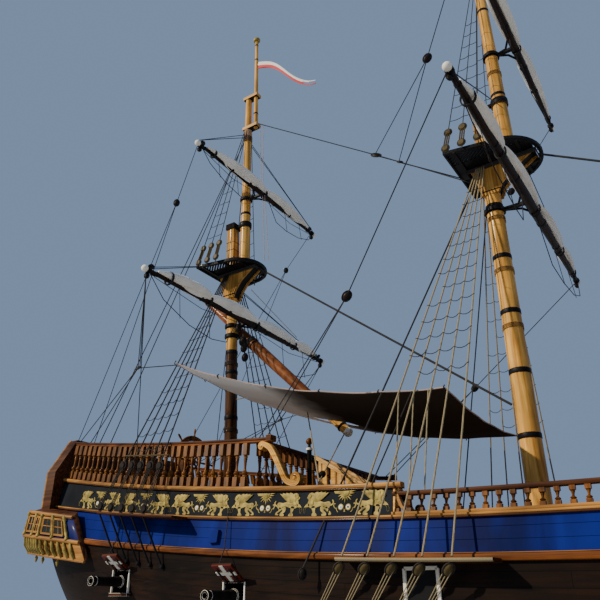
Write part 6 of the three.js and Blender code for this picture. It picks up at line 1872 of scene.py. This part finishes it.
for name, mast in MASTS.items():
    gang, lines = Shape(), Shape()
    axis, curve = lower_axis(mast), SHROUDS[name][0]
    top_x, collar_z = axis_at(axis, mast["top"]).x, mast["top"] - 0.115
    aft_x, fore_x = top_x - 0.37 * mast["half"], top_x + mast["half"]
    # Collar of rope turns round the cheeks
    for k in range(3):
        z = collar_z - 0.03 + k * 0.03
        aft, fore, y = aft_x - 0.03, fore_x + 0.03, CHEEK_HALF + 0.03
        gang.tube([(aft, -y, z), (fore, -y, z), (fore, y, z), (aft, y, z)], 0.028, TARRED, 8, closed=True)
    rope_mat, rope_r = (TARRED, 0.016) if name == "mizzen" else (HEMP, 0.017)
    for hand in BOTH:
        uppers, heads = [], []
        for x in SHROUD_FEET[name]:
            y, z = shroud_foot(name, x)
            head = Vector((top_x + (x - top_x) * 0.1, hand * (CHEEK_HALF + COLLAR_THICK - 0.02), collar_z))
            heads.append(head)
            if name == "mizzen":
                foot = Vector((x, hand * y, z + 0.107))
                upper = foot + (head - foot).normalized() * 1.05
                deadeye(gang, foot, DARK_BLOCK)
                deadeye(gang, upper, DARK_BLOCK)
                for d in (-0.045, 0, 0.045):
                    lines.tube([foot + Vector((d, 0, 0.02)), upper + Vector((d, 0, -0.02))], 0.011, TARRED, 5)
                # Chain plate down to the wale
                plate_x, plate_z = x + 0.38, curve(x) - 0.975
                plate = Vector((plate_x, hand * (hull_side(plate_x, plate_z) + 0.04), plate_z))
                gang.tube([Vector((x, hand * (y + 0.01), z - 0.05)), plate], 0.02, IRON, 6)
                gang.lathe(plate + Vector((0, -hand * 0.05, 0)), plate + Vector((0, hand * 0.03, 0)),
                           [(0, 0.05), (0.7, 0.05), (1, 0.03)], IRON, 10)
            else:
                # Block under the channel, and a tackle that leans aft down the side
                upper = Vector((x, hand * y, z + 0.02))
                rake, drop = (0.95, 1.15) if name == "main" else (0.70, 1.05)
                plate_x, plate_z = x - rake, curve(x) - drop
                plate = Vector((plate_x, hand * (hull_side(plate_x, plate_z) + 0.04), plate_z))
                start = Vector((x, hand * y, z - 0.06))
                way = (plate - start).normalized()
                block(gang, start + way * 0.13, way, 0.1, BLOCK)
                block(gang, plate - way * 0.06, way, 0.06)
                for d in (-0.06, 0.0, 0.06):
                    lines.tube([start + way * 0.18 + Vector((d, 0, 0)),
                                plate - way * 0.1 + Vector((d * 0.55, 0, 0))],
                               0.008, HEMP, 5)
            uppers.append(upper)
            gang.tube([upper, head], rope_r, rope_mat, 8)
        # Bar across the upper deadeyes, and ratlines that sag between neighbouring shrouds
        if name == "mizzen":
            a, b = uppers[0] + Vector((0.1, hand * 0.05, 0.2)), uppers[-1] + Vector((0.3, hand * 0.05, 0.2))
            gang.tube([a, b], 0.017, BLOCK, 6)
        z = max(u.z for u in uppers) + (0.35 if name == "mizzen" else 3.2)
        step = 0
        while z < collar_z - 0.5:
            cross = [u.lerp(h, (z - u.z) / (h.z - u.z)) for u, h in zip(uppers, heads)]
            shown = cross if step % 5 else cross[1:]
            points = [shown[0] + (shown[0] - shown[1]).normalized() * 0.03]
            for n, (a, b) in enumerate(zip(shown, shown[1:])):
                sag = (0.05 + 0.06 * abs(noise.noise(Vector((z * 3, hand, n * 1.7))))) * (b - a).length / 0.3
                points += sagging(a, b, min(sag, 0.12))[:-1]
            points += [shown[-1], shown[-1] + (shown[-1] - shown[-2]).normalized() * 0.03]
            lines.tube([p + Vector((0, hand * 0.02, 0)) for p in points], 0.008, TARRED, 5)
            z += 0.40 + 0.05 * noise.noise(Vector((z, hand, 2)))
            step += 1
    # Stay to the next mast or the bowsprit
    stay = STAYS[name]
    gang.tube([(fore_x + COLLAR_THICK / 2, 0, collar_z), (stay[0], 0, stay[1])], 0.026, TARRED, 8)
    gang.make(name + "_shrouds", slot="tarred_rope", replaces=[name + "_rigging"])
    lines.make(name + "_ratlines", slot="tarred_rope")

# Rigging aloft and running rigging
def topmast_shrouds(shape, name):
    """Deadeyes on the top's rim with shrouds to the topmast head and sagging ratlines."""
    mast = MASTS[name]
    centre = axis_at(lower_axis(mast), mast["top"])
    half, top_z = mast["half"], mast["top"]
    head_z = mast["bands"][0] - 0.1
    head = axis_at(mast["topmast"], head_z)
    for s in BOTH:
        lower_ends, upper_ends = [], []
        for k in range(3):
            foot = Vector((centre.x + half * (-0.56 + 0.34 * k), s * half * 0.95, top_z + 0.13))
            top = Vector((head.x - 0.05 + 0.05 * k, s * 0.11, head_z))
            lift = foot + (top - foot).normalized() * 0.5
            deadeye(shape, foot, BLOCK)
            deadeye(shape, lift, BLOCK)
            for d in (-0.05, 0, 0.05):
                shape.tube([foot + Vector((d, 0, 0.02)), lift + Vector((d, 0, -0.02))], 0.018, BLOCK, 5)
            shape.tube([foot, foot + Vector((0, 0, -0.17))], 0.014, IRON, 5)
            shape.tube([lift, top], 0.011, TARRED, 6)
            lower_ends.append(lift)
            upper_ends.append(top)
        z = lower_ends[0].z + 0.35
        while z < head_z - 2.0:
            cross = [a.lerp(b, (z - a.z) / (b.z - a.z)) for a, b in zip(lower_ends, upper_ends)]
            points = sagging(cross[0], cross[1], 0.03)[:-1] + sagging(cross[1], cross[2], 0.03)
            shape.tube(points, 0.008, TARRED, 5)
            z += 0.42


for name in MASTS:
    aloft = Shape()
    topmast_shrouds(aloft, name)
    aloft.make(name + "_topmast_shrouds", slot="tarred_rope")

fixed = Shape()


def on_rail(x, hand):
    """Where a rope ends outside the cap rail."""
    return x, hand * (side(x, RAIL_LEAN) + 0.03), rail_head(x) - 0.04


def ropes(shape, *lines, mat=TARRED, r=0.011):
    for line_points in lines:
        shape.tube(line_points, r, mat, 6)


for s in BOTH:
    ropes(fixed, [(-8.8, 0, 16.1), on_rail(-10.95, s)], [(-8.8, 0, 16.05), on_rail(-11.45, s)], r=0.012)
    # Blocks off the awning's corner and their lines to the rail
    at = (-9.46, s * 3.0, 7.07)
    block(fixed, at, (1, 0, 0.1), 0.09)
    ropes(fixed, [at, (-8.52, s * 2.7, 7.05)], [at, on_rail(-12.45, s)], [at, on_rail(-11.9, s)])
# Stay of the mizzen topmast, with its block, and a second one to the masthead
MIZZEN_STAY = [(-8.56, 0, 16.44), (-4.15, 0, 13.16), (-3.46, 0, 12.63), (-1.36, 0, 11.0)]
ropes(fixed, MIZZEN_STAY, r=0.014)
block(fixed, MIZZEN_STAY[1], (1, 0, -0.7), 0.14)
block(fixed, MIZZEN_STAY[2], (1, 0, -0.7), 0.08)
ropes(fixed, [(-0.37, 0, 18.1), (9.45, 0, 12.3)], [(9.88, 0, 17.0), (16.2, 0, 6.75)],
      [(9.9, 0, 20.2), (20.9, 0, 8.98)], [(-0.4, 0, 21.8), (9.6, 0, 17.9)], r=0.013)
# Hemp ropes that hang beside the main shrouds
ropes(fixed, [awning_point(0.86, -1), (-2.73, -3.05, 3.72)], [awning_point(0.905, -1), (-2.46, -3.14, 3.52)],
      [awning_point(0.95, -1), (-2.19, -3.15, 3.50)], mat=HEMP, r=0.013)
ropes(fixed, [awning_point(0.90, -1), (-3.23, -2.98, 3.75)], r=0.013)
# Backstays to a block outside the waist, and a rope that hangs to the second port's lid
for s in BOTH:
    block(fixed, (-4.31, s * 3.5, 2.35), (0.2, 0, 1), 0.085)
    ropes(fixed, [(-4.31, s * 3.5, 2.42), (-1.25, s * 0.24, 11.36)], r=0.017)
for x in PORTS:
    for s in BOTH:
        high = on_side(x - 0.3, frieze_foot(x) + 0.25, s, 0.05)
        low_end = Vector((x - 0.1, s * (half_breadth(x) + 0.36), wale_line(x) - 0.26))
        ropes(fixed, [high, on_side(x - 0.2, wale_line(x) + 0.07, s, 0.12), low_end], r=0.009)
fixed.make("standing_lines", slot="tarred_rope")

# Dark lashings and blocks where the lateen yard hangs on the mizzen mast
sling = Shape()
for x, y, drop, size in ((-8.61, -0.05, 0.25, 0.12), (-8.51, -0.12, 0.5, 0.1), (-8.57, 0.02, 0.72, 0.1),
                         (-8.71, -0.16, -0.12, 0.09)):
    block(sling, (x, y, SLING_Z - drop), (0.3, 0, 1), size)
ropes(sling, [(-8.66, -0.05, 8.95), (-8.58, -0.05, 8.6)], [(-8.6, -0.05, 8.45), (-8.52, -0.12, 8.25)],
      [(-8.5, -0.1, 8.25), (-8.57, 0.0, 8.1)], r=0.02)
sling.make("sling_blocks", slot="tarred_rope")


def yard_rope(name, start, lines, blocks=(), r=0.011, mat=TARRED):
    """Ropes that run from the ship to a yard; start is not used."""
    shape = Shape()
    ropes(shape, *lines, r=r, mat=mat)
    for at, way, size in blocks:
        block(shape, at, way, size)
    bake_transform(shape.make(name, body=None, slot="tarred_rope"))


for s, word in HANDS:
    tip = (-8.13, s * 2.90, 13.52)
    yard_rope("mizzen_topsail_lifts_" + word, (-9.0, 0, 16.0),
              [[(-8.93, s * 0.02, 16.07), tip], [(-8.91, s * 0.04, 15.93), tip]])
    rail = on_rail(-11.7, s)
    brace = (-8.47, s * 3.2, 11.4) if s < 0 else (-9.3, 3.0, 12.36)
    yard_rope("mizzen_topsail_brace_" + word, rail,
              [[tip, brace], [brace, (-12.75, s * 1.95, 5.84)], [brace, rail]],
              [(brace, (0.2, 0, 1), 0.09)], 0.009)
    tip = (-8.49, s * 3.93, 9.12)
    yard_rope("crossjack_lifts_" + word, (-9.3, s * 0.5, 10.9),
              [[(-9.72, s * 0.90, 10.90), (-8.51, s * 3.9, 9.18)],
               [(-9.60, s * 0.92, 10.84), (-8.48, s * 3.9, 9.12)]])
    tip, rail = (-8.49, s * 3.93, 9.02), on_rail(-9.8, s)
    yard_rope("crossjack_brace_" + word, rail,
              [[tip, rail], [tip, (-9.46, s * 3.0, 7.1)], [tip, (-9.42, s * 2.98, 7.1)]], r=0.010)
    tip, at = (-0.4, s * 4.85, 10.2), (-3.29, s * 3.5, 7.18)
    yard_rope("main_brace_" + word, on_rail(-5.75, s),
              [[tip, at], [at, on_rail(-5.85, s)], [at, on_rail(-5.65, s)]], [(at, (1, 0, 1), 0.1)])
    tip, at = (-0.06, s * 3.65, 14.8), (-1.37, s * 3.0, 12.6)
    yard_rope("main_topsail_brace_" + word, MIZZEN_STAY[1],
              [[tip, at], [at, (-4.15, s * 0.05, 13.16)], [at, (-3.46, s * 0.05, 12.63)]],
              [(at, (1, 0, 1), 0.1)], 0.010)
    for name in ("main", "fore"):
        mast = MASTS[name]
        for key, high in ((name, mast["top"] + 1.6), (name + "_topsail", mast["bands"][0] - 0.3)):
            _, _, yard_x, yard_z, half, _ = YARDS[key]
            tip = (yard_x, s * (half - 0.06), yard_z)
            start = (axis_at(mast["topmast"], high).x, s * 0.16, high)
            yard_rope(f"{key}_lift_{word}", start, [[start, tip]])
# Halyards above and below the mizzen topsail yard, and a pale line from the top to the crossjack
for name, start, end in (("upper", (-8.31, 0.0, 16.3), (-8.17, 0.0, 13.49)),
                         ("lower", (-8.0, 0.05, 11.0), (-8.10, 0.0, 13.32))):
    other = Vector((0.13, 0.03, 0))
    yard_rope("mizzen_topsail_halyard_" + name, start,
              [[start, end], [Vector(start) + other, Vector(end) + other * 0.5]], r=0.008, mat=PALE_ROPE)
start, end = (-8.62, 0.25, 10.30), (-8.40, 2.35, 9.42)
yard_rope("crossjack_pale_line", start, [[start, end]], r=0.010, mat=PALE_ROPE)
# Tackles from the lateen's lower end to the cap rail
foot = (-4.34, -2.9, 3.92)
yard_rope("lateen_tackle", foot,
          [[foot, (-5.56, 0.24, 5.60)], [foot, (-6.75, 0.28, 6.76)]],
          [((-4.45, -2.62, 4.1), (1, 1, 1), 0.07)], 0.014, HEMP)

# Light, floor and background
scene = bpy.context.scene
world = bpy.data.worlds.new("studio")
world.use_nodes = True
world.node_tree.nodes["Background"].inputs["Color"].default_value = (0.46, 0.64, 0.96, 1)
world.node_tree.nodes["Background"].inputs["Strength"].default_value = 0.42
scene.world = world


def sun_light(name, way, strength, angle, colour):
    """A distant light that travels along way."""
    light = bpy.data.lights.new(name, "SUN")
    light.energy = strength
    light.angle = math.radians(angle)
    light.color = colour
    obj = bpy.data.objects.new(name, light)
    obj.rotation_euler = Vector(way).to_track_quat("-Z", "Y").to_euler()
    scene.collection.objects.link(obj)


sun_light("key", (0.6, 0.75, -0.6), 5.0, 1.5, (1.0, 0.87, 0.66))
floor = Shape()
FLOOR_RADIUS = 320
floor.add([(*corner, 0) for corner in disc(0, 0, FLOOR_RADIUS, 96)], [tuple(range(96))],
          paint("pale_floor", (0.47, 0.49, 0.51), 0.6, 0.0, 0.04))
floor.make("floor", body=None)
